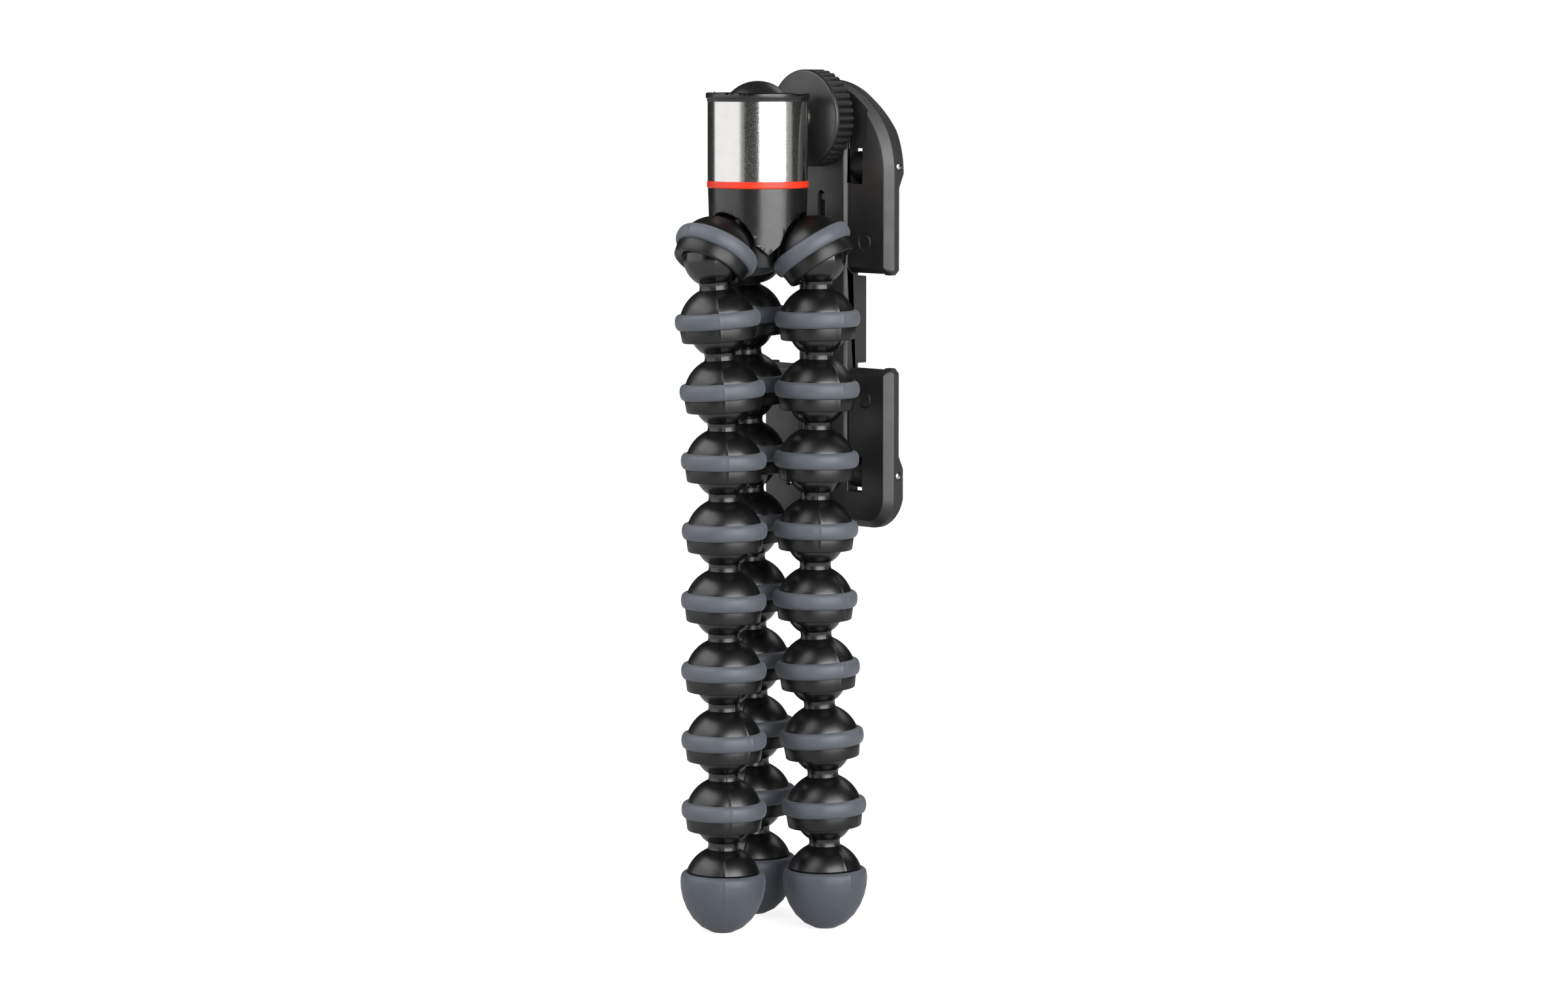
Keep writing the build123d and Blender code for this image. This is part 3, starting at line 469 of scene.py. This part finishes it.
def raise_seam(piece, low, high, sides=(1, -1)):
    """Bevel the outer meridians between two heights to a narrow strip and lift its middle line."""
    def on_meridian(vertex):
        return low * MM < vertex.co.z < high * MM and abs(vertex.co.y) < TINY

    def meridian(edge):
        a, b = edge.verts[0].co, edge.verts[1].co
        away = min(math.hypot(a.x, a.y), math.hypot(b.x, b.y)) > MM
        side = any(a.x * s > 0 and b.x * s > 0 for s in sides)
        outward = sum(face.normal.x * face.calc_center_median().x for face in edge.link_faces)
        return away and side and outward > 0 and all(on_meridian(vertex) for vertex in edge.verts)

    only(piece)
    bpy.ops.object.mode_set(mode="EDIT")
    select_where(piece, "edges", meridian)
    bpy.ops.mesh.bevel(offset=SEAM_HALF * MM, segments=2, profile=0.5, affect="EDGES")
    for side in sides:
        def crest(vertex):
            outward = vertex.co.x * side > MM and vertex.normal.x * side > LEAST_OUTWARD
            return on_meridian(vertex) and outward and not vertex.is_boundary
        select_where(piece, "verts", crest)
        bpy.ops.transform.translate(value=(side * SEAM_RISE * MM, 0, 0))
    bpy.ops.object.mode_set(mode="OBJECT")


def paint_by_height(piece, bands):
    """Give the faces between two heights a material slot: (slot, lowest, highest) in millimetres."""
    for face in piece.data.polygons:
        for slot, low, high in bands:
            if low * MM <= face.center.z < high * MM:
                face.material_index = slot


# %% Link model
BALL_LOW, ABOVE, BELOW = 8.4, 20, -10
LINK_SEAM = (-2.2, 17.4)
link_model = turn("link_model", upper_outline() + socket_outline(), rounds=SOCKET_ROUNDS)
raise_seam(link_model, *LINK_SEAM)
for material in (DOME_BLACK, BALL_BLACK, COLLAR_BLACK):
    link_model.data.materials.append(material)
paint_by_height(link_model, [(1, BALL_LOW, ABOVE), (0, RING_LOW, BALL_LOW), (2, BELOW, RING_LOW)])
smooth(link_model)
print("link faces", len(link_model.data.polygons))

# %% Grip ring
RING_SEAM = (0.15, 3.2)
BEAD_STEPS, BEAD_FULLNESS = 14, 0.62


def ring_outline():
    """Half-round bead on the seat, a little fuller than a half circle."""
    middle, half = (RING_LOW + RING_TOP) / 2, (RING_TOP - RING_LOW) / 2
    bead = []
    for i in range(BEAD_STEPS + 1):
        a = math.radians(90 - 180 * i / BEAD_STEPS)
        reach = (RING_R - SEAT_R) * max(0.0, math.cos(a)) ** BEAD_FULLNESS
        bead.append((SEAT_R + reach, middle + half * math.sin(a)))
    return [*bead, bead[0]]


ring_model = turn("ring_model", ring_outline())
raise_seam(ring_model, *RING_SEAM, sides=(1,))
ring_model.data.materials.append(GRIP_RUBBER)
smooth(ring_model, degrees=40)
print("ring faces", len(ring_model.data.polygons))

# %% [markdown]
# ## The legs
# Each leg is eight of these links and a foot, all hanging from a shoulder of the hub.
# The joints of the record stand at the centres of the balls, so two neighbouring joints give a link its line.
# The seam of a real link points wherever it was last twisted to, so each leg has its own seam direction.

# %% Links and rings in their places
LINKS = 8
SEAM_TURN = {"a": 3.6, "b": 37.0, "c": -20.0}
SEAM_DRIFT = {"a": (0, 0, 4, 60, 62, 75, 40, 8), "b": (0, 0, 90, -30, 14, 0, 60, 25), "c": (0,) * 8}


def ball_centres(leg):
    """Centres of the balls of one leg from the hip down, and of the foot's plug."""
    centres = [JOINTS[f"leg_{leg}_hip"]]
    centres += [JOINTS[f"leg_{leg}_bend_{i}"] for i in range(2, LINKS + 2)]
    sole = MOUNTS[f"foot_{leg}_sole"]
    across = Vector((sole.x, sole.y, 0)) - Vector((centres[-1].x, centres[-1].y, 0))
    drop = math.sqrt((PITCH * MM) ** 2 - across.length_squared)
    return centres + [Vector((sole.x, sole.y, centres[-1].z - drop))]


def link_place(leg, number, centres):
    """Place of one link, with its seam turned to the side that it faces."""
    drift = SEAM_DRIFT[leg][number - 1] if number <= LINKS else 0
    facing = towards_camera(SEAM_TURN[leg] + drift)
    upper, lower = centres[number - 1], centres[number]
    return axes(lower, upper - lower, facing)


for leg in "abc":
    centres = ball_centres(leg)
    for number in range(1, LINKS + 1):
        body = f"leg_{leg}_{number}"
        node = f"leg_{leg}_link_{number}"
        place = link_place(leg, number, centres)
        dress(put(link_model, f"{body}_shell", place), body, [node])
        dress(put(ring_model, f"{body}_ring", place), body, [node])
print("links placed:", 3 * LINKS)

# %% [markdown]
# ## The feet
# The last link ends in a plug, and a rubber cup is pulled over it.
# The cup is an egg-like dome with a rounded rim, and its sole is worn flat on the floor.
# It is spun upright, put in its place and only then cut level with the floor, as the leg leans a little.

# %% Foot link and cup
FOOT_R, FOOT_RIM, FOOT_TIP = 8.42, 3.0, -9.2
PLUG_R, PLUG_TIP_R, PLUG_LOW, PLUG_SHOULDER, PLUG_TOP = 6.9, 3.6, -5.2, -0.6, 2.7
CUP_DOME = [
    (0, FOOT_TIP), (2.2, -8.86), (4.2, -7.85), (5.9, -6.2), (7.1, -4.3),
    (7.9, -2.3), (8.32, -0.4), (FOOT_R, 1.0), (8.38, 1.9),
]
CUP_RIM = [(8.2, 2.55), (7.85, 2.9), (7.4, FOOT_RIM), (7.15, 2.9), (PLUG_R, 2.5)]
PLUG_SIDE = [(PLUG_R, PLUG_SHOULDER), (PLUG_TIP_R, PLUG_LOW), (0, PLUG_LOW)]
FOOT_LINK_SEAM, CUP_SEAM = (3.0, 17.4), (-8.0, 2.95)

foot_link_model = turn("foot_link_model", upper_outline() + [(PLUG_R, PLUG_TOP), *PLUG_SIDE])
raise_seam(foot_link_model, *FOOT_LINK_SEAM)
for material in (DOME_BLACK, BALL_BLACK):
    foot_link_model.data.materials.append(material)
paint_by_height(foot_link_model, [(1, BALL_LOW, ABOVE), (0, BELOW, BALL_LOW)])
smooth(foot_link_model)
cup_model = turn("cup_model", [*CUP_DOME, *CUP_RIM, *PLUG_SIDE, CUP_DOME[0]])
raise_seam(cup_model, *CUP_SEAM)
cup_model.data.materials.append(FOOT_RUBBER)
smooth(cup_model, degrees=50)

# %% Feet in their places
for leg in "abc":
    centres = ball_centres(leg)
    body = f"leg_{leg}_foot"
    place = link_place(leg, LINKS + 1, centres)
    dress(put(foot_link_model, f"{body}_shell", place), body, [f"{body}_link"])
    cup = put(cup_model, f"{body}_cup", place)
    only(cup)
    bpy.ops.object.mode_set(mode="EDIT")
    bpy.ops.mesh.select_all(action="SELECT")
    bpy.ops.mesh.bisect(
        plane_co=(0, 0, 0), plane_no=(0, 0, -1), use_fill=True, clear_outer=True, threshold=TINY / 10)
    bpy.ops.object.mode_set(mode="OBJECT")
    dress(cup, body, [f"{body}_pad"])
    print(body, "lowest point", round(min(v.co.z for v in cup.data.vertices) / MM, 3), "mm")

# %% [markdown]
# ## The shoulders
# Three sockets without balls are moulded into the hub, one for each leg.
# They are the lower half of a link, tilted outwards, and the same rings sit on them.
# A post and a flange join them inside the cover, so that nothing hangs in the air.

# %% Shoulders, their rings and the post
SHOULDER_TILT = math.radians(33.5)
SHOULDER_SEAMS = {"a": -47.0, "b": 62.0, "c": 0.0}
HUB_TOP, COVER_ROOF = 146.4, 1.4
POST_R, POST_LOW, POST_BORE = 5.2, 130.8, 1.25
CORE_FLANGE_R, CORE_FLANGE_LOW = 8.3, 142.4
POST_ROUND, SHOULDER_STEPS = 0.3, 16

shoulder_dome = arc(DOME_RISE, DOME_R, 90, angle_at(DOME_R, SEAT_R), SHOULDER_STEPS)
shoulder_outline = shoulder_dome + socket_outline() + [(0, DOME_RISE + DOME_R)]
shoulder_model = turn("shoulder_model", shoulder_outline, rounds=SOCKET_ROUNDS)
for material in (DOME_BLACK, COLLAR_BLACK):
    shoulder_model.data.materials.append(material)
paint_by_height(shoulder_model, [(0, RING_LOW, ABOVE), (1, BELOW, RING_LOW)])
smooth(shoulder_model)

for leg in "abc":
    centre = JOINTS[f"leg_{leg}_hip"]
    inward = Vector((-centre.x, -centre.y, 0)).normalized()
    upward = inward * math.sin(SHOULDER_TILT) + Vector((0, 0, 1)) * math.cos(SHOULDER_TILT)
    place = axes(centre, upward, towards_camera(SHOULDER_SEAMS[leg]))
    dress(put(shoulder_model, f"shoulder_{leg}", place), "hub", ["hub_core"])
    dress(put(ring_model, f"shoulder_{leg}_ring", place), "hub", ["shoulder_rings"])

roof = HUB_TOP - COVER_ROOF
post = turn("hub_post", [
    (POST_BORE, POST_LOW), (POST_R, POST_LOW), (POST_R, CORE_FLANGE_LOW), (CORE_FLANGE_R, CORE_FLANGE_LOW),
    (CORE_FLANGE_R, roof), (POST_BORE, roof), (POST_BORE, POST_LOW),
], rounds=[([(POST_R, POST_LOW), (CORE_FLANGE_R, CORE_FLANGE_LOW)], POST_ROUND, 2)])
dress(smooth(post), "hub", ["hub_core"], [DOME_BLACK])

# %% [markdown]
# ## The locking wheel
# The wheel has a shallow cone towards the head, a bright rounded rim and a ribbed edge that a thumb turns.
# Cutting each groove by hand would take all day, so the rim is spun with ten steps for each rib.
# The steps in the grooves are then selected together and drawn in towards the axis.

# %% Wheel
WHEEL_X, STEM_Z = 11.2, 159.9
WHEEL_R, WHEEL_RIBS, RIB_STEPS = 9.6, 38, 10
RIB_START, WHEEL_END, DISH_FLOOR = 1.85, 5.95, 4.35
RIB_DEPTHS = {0: 0.58, 1: 0.42, 2: 0.14, 3: 0.03, 7: 0.03, 8: 0.14, 9: 0.42}
BORE_R, CONE_START_R, DISH_R, BOSS_R = 3.235, 3.7, 7.6, 4.6
CONE_EDGE = [(9.1, 0.93), (9.36, 1.02), (9.53, 1.17), (WHEEL_R, 1.36)]
GROOVE_INSET, EDGE_INSET, GROOVE_REACH = 0.05, 0.2, 0.3
DISH_ROUND, GROOVE_SLACK = 0.2, 0.01
wheel_side = [(WHEEL_R, RIB_START), (WHEEL_R, RIB_START + GROOVE_INSET), (WHEEL_R, WHEEL_END - EDGE_INSET)]
dish = [(DISH_R, WHEEL_END), (DISH_R, DISH_FLOOR), (BOSS_R, DISH_FLOOR), (BOSS_R, WHEEL_END)]

wheel = turn(
    "locking_wheel_dressed",
    [(BORE_R, 0), (CONE_START_R, 0), *CONE_EDGE, *wheel_side, (WHEEL_R - EDGE_INSET, WHEEL_END), *dish,
     (BORE_R, WHEEL_END), (BORE_R, 0)],
    steps=WHEEL_RIBS * RIB_STEPS, rounds=[([(DISH_R, WHEEL_END), (BOSS_R, WHEEL_END)], DISH_ROUND, 2)])
only(wheel)
bpy.ops.object.mode_set(mode="EDIT")
for phase, depth in RIB_DEPTHS.items():
    def in_groove(vertex):
        turned = math.degrees(math.atan2(vertex.co.y, vertex.co.x)) / 360
        step = round(turned * WHEEL_RIBS * RIB_STEPS) % RIB_STEPS
        at_edge = math.hypot(vertex.co.x, vertex.co.y) > (WHEEL_R - GROOVE_REACH) * MM
        return step == phase and at_edge and vertex.co.z > (RIB_START + GROOVE_SLACK) * MM

    select_where(wheel, "verts", in_groove)
    factor = (WHEEL_R - depth) / WHEEL_R
    bpy.ops.transform.resize(value=(factor, factor, 1), center_override=(0, 0, 0))
bpy.ops.object.mode_set(mode="OBJECT")
on_stem = Matrix.Translation(Vector((WHEEL_X, 0, STEM_Z)) * MM)
wheel.matrix_world = on_stem @ Matrix.Rotation(math.pi / 2, 4, "Y")
only(wheel)
bpy.ops.object.transform_apply(location=True, rotation=True, scale=True)
for material in (WHEEL_BLACK, RIB_BLACK):
    wheel.data.materials.append(material)
for face in wheel.data.polygons:
    face.material_index = int(face.center.x > (WHEEL_X + RIB_START + 2 * GROOVE_SLACK) * MM)
dress(smooth(wheel, degrees=35), "wheel", ["locking_wheel"])
print("wheel faces", len(wheel.data.polygons))

# %% [markdown]
# ## Pieces with soft edges
# The cover, the head and the clamp have the right shape in the CAD model, but its edges are razor sharp.
# Real mouldings have small rounded edges, which draw the bright lines that a camera sees.
# So each is copied, its loose triangles are merged into whole faces, and the sharp edges are bevelled.

# %% Soft copies of CAD nodes
SHARP, LEVEL = math.radians(38.0), math.radians(1.0)
RAIL_HALF = 6.95
ANYWHERE = (-500, 500)
COVER_TOP, SOCKET_INSIDE, STEM_NOTCH = (145.8, 147), (0, 162.4), (9, 11)


def soften(node, body, material, width, skip=(), middle=None):
    """Copy a CAD node, join its triangles, and bevel its sharp edges outside the skipped boxes.

    Middle is a second material for the faces within RAIL_HALF of the XZ plane.
    """
    only(frame["nodes"][node])
    bpy.ops.object.duplicate(linked=False)
    piece = bpy.context.active_object
    piece.name = f"{node}_soft"
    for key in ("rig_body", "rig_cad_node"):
        del piece[key]
    piece.parent = None
    piece.data.materials.clear()
    bpy.ops.object.mode_set(mode="EDIT")
    bpy.ops.mesh.select_all(action="SELECT")
    bpy.ops.mesh.remove_doubles(threshold=TINY)
    bpy.ops.mesh.dissolve_limited(angle_limit=LEVEL)

    def chosen(edge):
        if len(edge.link_faces) != 2 or edge.calc_face_angle(0.0) < SHARP:
            return False
        centre = (edge.verts[0].co + edge.verts[1].co) / 2 / MM
        return not any(all(low <= value <= high for value, (low, high) in zip(centre, box)) for box in skip)

    count = select_where(piece, "edges", chosen)
    bpy.ops.mesh.bevel(offset=width * MM, segments=2, profile=0.5, affect="EDGES", clamp_overlap=False)
    bpy.ops.object.mode_set(mode="OBJECT")
    print(node, "edges bevelled:", count)
    dress(keep_flat(smooth(piece)), body, [node], [material] + ([middle] if middle else []))
    if middle:
        for face in piece.data.polygons:
            face.material_index = int(abs(face.center.y) < RAIL_HALF * MM)


cover_skip = [(ANYWHERE, ANYWHERE, COVER_TOP)]
socket_skip = [(ANYWHERE, ANYWHERE, SOCKET_INSIDE), (STEM_NOTCH, ANYWHERE, ANYWHERE)]
soften("hub_cover", "hub", HUB_BLACK, width=0.15, skip=cover_skip)
soften("head_socket", "hub", FLANGE_BLACK, width=0.12, skip=socket_skip)
soften("upper_jaw", "clamp", JAW_BLACK, width=0.16, middle=RAIL_BLACK)
soften("lower_jaw", "slider", JAW_BLACK, width=0.16)
soften("upper_flap", "upper_flap", JAW_BLACK, width=0.15)
soften("lower_flap", "lower_flap", JAW_BLACK, width=0.15)

# %% [markdown]
# ## Pins and pads
# Each jaw turns its flap on a steel pin whose ends are slightly domed, which makes them glint.
# A phone is held by rubber pads with low ribs, so that it can't slide out sideways.
# A pad starts as a box with rounded corners, is sliced across, and every second slice is drawn out to a rib.

# %% Hinge pins
PIN_R, PIN_HALF = 0.8, 18.3
FLAT_INSET, DOME_INSET, SIDE_INSET = 0.4, 0.12, 0.35
pin_end = [
    (0, PIN_HALF), (PIN_R - FLAT_INSET, PIN_HALF), (PIN_R - DOME_INSET, PIN_HALF - DOME_INSET),
    (PIN_R, PIN_HALF - SIDE_INSET),
]
other_end = [(radius, -height) for radius, height in pin_end]
pin_model = turn("pin_model", other_end + pin_end[::-1], steps=32)
pin_model.data.materials.append(PIN_STEEL)
smooth(pin_model, degrees=60)
for jaw, body, joint in (("upper", "clamp", "upper_flap_fold"), ("lower", "slider", "lower_flap_fold")):
    place = axes(JOINTS[joint], Vector((0, 1, 0)), Vector((1, 0, 0)))
    dress(put(pin_model, f"{jaw}_pin_domed", place), body, [f"{jaw}_hinge_pin"])

# %% Ribbed pads
RIB_BEVEL, RIB_FACING = 0.12, 0.9


def ribbed_pad(name, back, front, across, heights, corner, ribs, rise):
    """Pad between two X places in millimetres, with ribs on the side that front names."""
    side = 1 if front > back else -1
    skin = front - side * rise
    middle = Vector(((back + skin) / 2, sum(across) / 2, sum(heights) / 2)) * MM
    size = (abs(skin - back), across[1] - across[0], heights[1] - heights[0])
    bpy.ops.object.select_all(action="DESELECT")
    bpy.ops.mesh.primitive_cube_add(size=MM, location=middle)
    pad = bpy.context.active_object
    pad.name = name
    bpy.ops.object.transform_apply(location=True, rotation=True, scale=True)
    bpy.ops.object.mode_set(mode="EDIT")
    bpy.ops.mesh.select_all(action="SELECT")
    bpy.ops.transform.resize(value=size, center_override=middle)
    select_where(pad, "edges", lambda e: abs(e.verts[0].co.x - e.verts[1].co.x) > TINY)
    bpy.ops.mesh.bevel(offset=corner * MM, segments=4, profile=0.5, affect="EDGES")
    low, high = heights[0] + corner, heights[1] - corner
    step = (high - low) / (2 * ribs - 1)
    for i in range(2 * ribs):
        bpy.ops.mesh.select_all(action="SELECT")
        cut = (0, 0, (low + step * i) * MM)
        bpy.ops.mesh.bisect(plane_co=cut, plane_no=(0, 0, 1), threshold=TINY / 10)

    def is_rib(face):
        height = face.calc_center_median().z / MM
        faces_out = face.normal.x * side > RIB_FACING
        return faces_out and low < height < high and int((height - low) / step) % 2 == 0

    count = select_where(pad, "faces", is_rib)
    bpy.ops.mesh.inset(thickness=RIB_BEVEL * MM, use_individual=True)
    bpy.ops.transform.translate(value=(side * rise * MM, 0, 0))
    bpy.ops.object.mode_set(mode="OBJECT")
    print(name, "ribs:", count)
    return smooth(pad, degrees=30)


REST_BACK, REST_FRONT, REST_ACROSS, REST_HEIGHTS = 23.25, 23.75, (-5.65, 5.65), (112.5, 127.4)
REST_CORNER, REST_RIBS, REST_RISE = 1.0, 8, 0.2
PAD_BACK, PAD_FRONT, PAD_ACROSS = 21.35, 20.15, (7.15, 14.7)
PAD_HEIGHTS = {"upper": (132.5, 146.1), "lower": (93.8, 107.4)}
PAD_CORNER, PAD_RIBS, PAD_RISE = 0.4, 7, 0.4
rest = ribbed_pad(
    "phone_rest_ribbed", REST_BACK, REST_FRONT, REST_ACROSS, REST_HEIGHTS, REST_CORNER, REST_RIBS, REST_RISE)
dress(rest, "clamp", ["phone_rest_pad"], [PAD_RUBBER])
for jaw, heights in PAD_HEIGHTS.items():
    for side, label in ((-1, "right"), (1, "left")):
        across = sorted(side * y for y in PAD_ACROSS)
        name = f"{jaw}_flap_pad_{label}"
        pad = ribbed_pad(name, PAD_BACK, PAD_FRONT, across, heights, PAD_CORNER, PAD_RIBS, PAD_RISE)
        dress(pad, f"{jaw}_flap", [f"{jaw}_flap_pads"], [PAD_RUBBER])

# %% [markdown]
# ## Nodes that keep their CAD shape
# Band, trim, ball, stud and the pieces hidden inside are good as they are, so they only get a finish.
# The nodes that a modelled piece replaces get the domes' black, so that no node is left without a material.

# %% Finishes of the kept nodes
KEPT = {
    "hub_screw": DARK_STEEL,
    "trim_ring": TRIM_RED,
    "steel_band": BAND_STEEL,
    "friction_cup": BEARING_WHITE,
    "friction_spring": DARK_STEEL,
    "head_ball": HEAD_BLACK,
    "camera_stud": PIN_STEEL,
    "thread_insert": INSERT_BRASS,
    "return_springs": DARK_STEEL,
}
for node, material in KEPT.items():
    piece = frame["nodes"][node]
    piece.data.materials.clear()
    piece.data.materials.append(material)
for node, piece in frame["nodes"].items():
    if not piece.data.materials or piece.data.materials[0] is None:
        piece.data.materials.clear()
        piece.data.materials.append(DOME_BLACK)
print("kept nodes:", len(KEPT))

# %% [markdown]
# ## Clearing the bench
# The models that were copied have done their work, and only their copies belong to the tripod.

# %% Remove the models
for model in (link_model, ring_model, foot_link_model, cup_model, shoulder_model, pin_model):
    bpy.data.objects.remove(model)

# %% [markdown]
# ## The studio
# The photograph shows the tripod on white, and the steel band is a map of the room round it.
# Each bright stripe on the band is a soft box and each dark one is a part of the room without light.
# The floor is white for the camera and keeps the soft shadow, with its glow turned down near the tripod as
# painted shade, and reflections see only a little of its glow.
# The world beyond is white where a camera or a mirrored ray meets it, and a weak fill for everything else.

# %% Floor
CIRCLE_STEPS = 96
# The floor's glow near the tripod is turned down as painted shade round it.
FLOOR_R, FLOOR_TONE, PAINTED_SHADE_GLOW_NEAR = 3.0, 0.42, 0.84
GLOW_FADES = (0.05, 0.45)
MIRRORED_GLOW = 0.2


def arithmetic(tree, operation, first, second, clamp=False):
    """Math node on sockets, or on a socket and a number."""
    node = tree.nodes.new("ShaderNodeMath")
    node.operation = operation
    node.use_clamp = clamp
    for socket, value in zip(node.inputs, (first, second)):
        if isinstance(value, float):
            socket.default_value = value
        else:
            tree.links.new(value, socket)
    return node.outputs[0]


def seen_white(tree, mirrored):
    """1 for the camera and for rays through clear pieces, and a share of it for mirrored rays."""
    rays = tree.nodes.new("ShaderNodeLightPath")
    dimmed = arithmetic(tree, "MULTIPLY", rays.outputs["Is Glossy Ray"], mirrored)
    seen = arithmetic(tree, "ADD", rays.outputs["Is Camera Ray"], dimmed, clamp=True)
    return arithmetic(tree, "ADD", seen, rays.outputs["Is Transmission Ray"], clamp=True)


def floor_material(name):
    """White floor whose glow, for camera and reflections only, is a little weaker near the tripod, as painted
    shade round it.
    """
    material, tree, shader = finish(name, (FLOOR_TONE,) * 3, 0.9, Specular_IOR_Level=0.1)
    place = tree.nodes.new("ShaderNodeTexCoord")
    distance = tree.nodes.new("ShaderNodeVectorMath")
    distance.operation = "LENGTH"
    tree.links.new(place.outputs["Object"], distance.inputs[0])
    # Painted shade: the glow fades down near the tripod, which darkens the floor there and its reflection in
    # the undersides.
    glow = spread(tree, distance.outputs["Value"], PAINTED_SHADE_GLOW_NEAR, 1.0, *GLOW_FADES)
    strength = arithmetic(tree, "MULTIPLY", seen_white(tree, MIRRORED_GLOW), glow)
    tree.links.new(strength, shader.inputs["Emission Strength"])
    shader.inputs["Emission Color"].default_value = (1, 1, 1, 1)
    return material


bpy.ops.object.select_all(action="DESELECT")
bpy.ops.mesh.primitive_circle_add(vertices=CIRCLE_STEPS, radius=FLOOR_R, fill_type="NGON", location=(0, 0, 0))
floor = bpy.context.active_object
floor.name = "studio_floor"
floor.data.materials.append(floor_material("floor_white"))
print("floor tone", FLOOR_TONE)

# %% [markdown]
# ## Soft boxes
# A wide box stands at the left and a brighter one at the right, and two narrow ones soften their edges.
# One hangs high at the left for the spots on the domes, and one behind edges the tops with light.
# The overhead box is left out of reflections, so it shapes the matt rubber and leaves the glossy black dark.
# The last one is flagged off from everything but the two jaws, whose chamfers face the camera.

# %% Lights
# Degrees to the right of the camera, distance, height, width, tall side, radiance, and the height aimed at.
SOFT_BOXES = {
    "right_soft_box": (35, 0.95, 0.42, 1.08, 0.95, 4.4),
    "right_edge_box": (75, 0.95, 0.42, 0.32, 0.95, 0.3),
    "left_soft_box": (-79, 0.95, 0.42, 1.50, 0.95, 1.1),
    "left_edge_box": (-36, 0.95, 0.42, 0.15, 0.95, 0.3),
    "top_soft_box": (-75, 0.60, 0.85, 1.20, 0.50, 2.0, 0.09),
    "back_soft_box": (140, 0.90, 0.80, 0.80, 0.40, 1.0, 0.09),
    "overhead_box": (0, 0.05, 0.95, 0.60, 0.60, 1.7, 0.0),
    "jaw_strip_box": (-4, 0.90, 0.50, 0.40, 0.90, 5.5),
}


def soft_box(name, degrees_right, distance, height, width, tall, radiance, aim=None):
    """Even rectangular light, level or aimed at a height, at an angle to the right of the camera."""
    light = bpy.data.lights.new(name, "AREA")
    light.shape = "RECTANGLE"
    light.size, light.size_y = width, tall
    light.energy = radiance * math.pi * width * tall
    lamp = bpy.data.objects.new(name, light)
    bpy.context.scene.collection.objects.link(lamp)
    lamp.location = towards_camera(degrees_right) * distance + Vector((0, 0, height))
    target = Vector((0, 0, height if aim is None else aim))
    lamp.rotation_euler = (target - lamp.location).to_track_quat("-Z", "Y").to_euler()
    lamp.visible_camera = False
    return lamp


lamps = {name: soft_box(name, *values) for name, values in SOFT_BOXES.items()}
lamps["overhead_box"].visible_glossy = False
jaws_only = bpy.data.collections.new("jaws_only")
for name in ("upper_jaw_soft", "lower_jaw_soft"):
    jaws_only.objects.link(bpy.data.objects[name])
lamps["jaw_strip_box"].light_linking.receiver_collection = jaws_only
print("soft boxes:", len(lamps))

# %% [markdown]
# ## The dark tent
# Between the soft boxes the band and the blacks reflect a dark room.
# A tent of a wall and a roof is that room, and only reflections see it, so it takes no light away.

# %% Tent
TENT_R, TENT_HEIGHT = 1.35, 1.5
TENT_TONE, TENT_GLOW = 0.02, 0.015


def hang(card, name):
    """Name a part of the tent, blacken it, and hide it from everything but mirror-like rays."""
    card.name = name
    card.data.materials.append(tent_black)
    card.visible_camera = False
    card.visible_diffuse = False
    card.visible_transmission = False
    card.visible_shadow = False


tent_black = finish(
    "tent_black", (TENT_TONE,) * 3, 1.0,
    Specular_IOR_Level=0.0, Emission_Color=(1, 1, 1, 1), Emission_Strength=TENT_GLOW)[0]
bpy.ops.object.select_all(action="DESELECT")
bpy.ops.mesh.primitive_cylinder_add(
    vertices=CIRCLE_STEPS, radius=TENT_R, depth=TENT_HEIGHT, end_fill_type="NOTHING",
    location=(0, 0, TENT_HEIGHT / 2))
hang(bpy.context.active_object, "dark_tent")
bpy.ops.object.select_all(action="DESELECT")
bpy.ops.mesh.primitive_circle_add(
    vertices=CIRCLE_STEPS, radius=TENT_R, fill_type="NGON", location=(0, 0, TENT_HEIGHT))
hang(bpy.context.active_object, "dark_roof")
print("tent radius", TENT_R, "m")

# %% World
FILL = 0.08
world = bpy.data.worlds.new("studio_world")
bpy.context.scene.world = world
world.use_nodes = True
tree = world.node_tree
background = tree.nodes["Background"]
background.inputs["Color"].default_value = (1, 1, 1, 1)
strength = spread(tree, seen_white(tree, 1.0), FILL, 1.0, 0.0, 1.0)
tree.links.new(strength, background.inputs["Strength"])
bpy.context.scene.view_settings.view_transform = "Standard"
print("fill light", FILL)
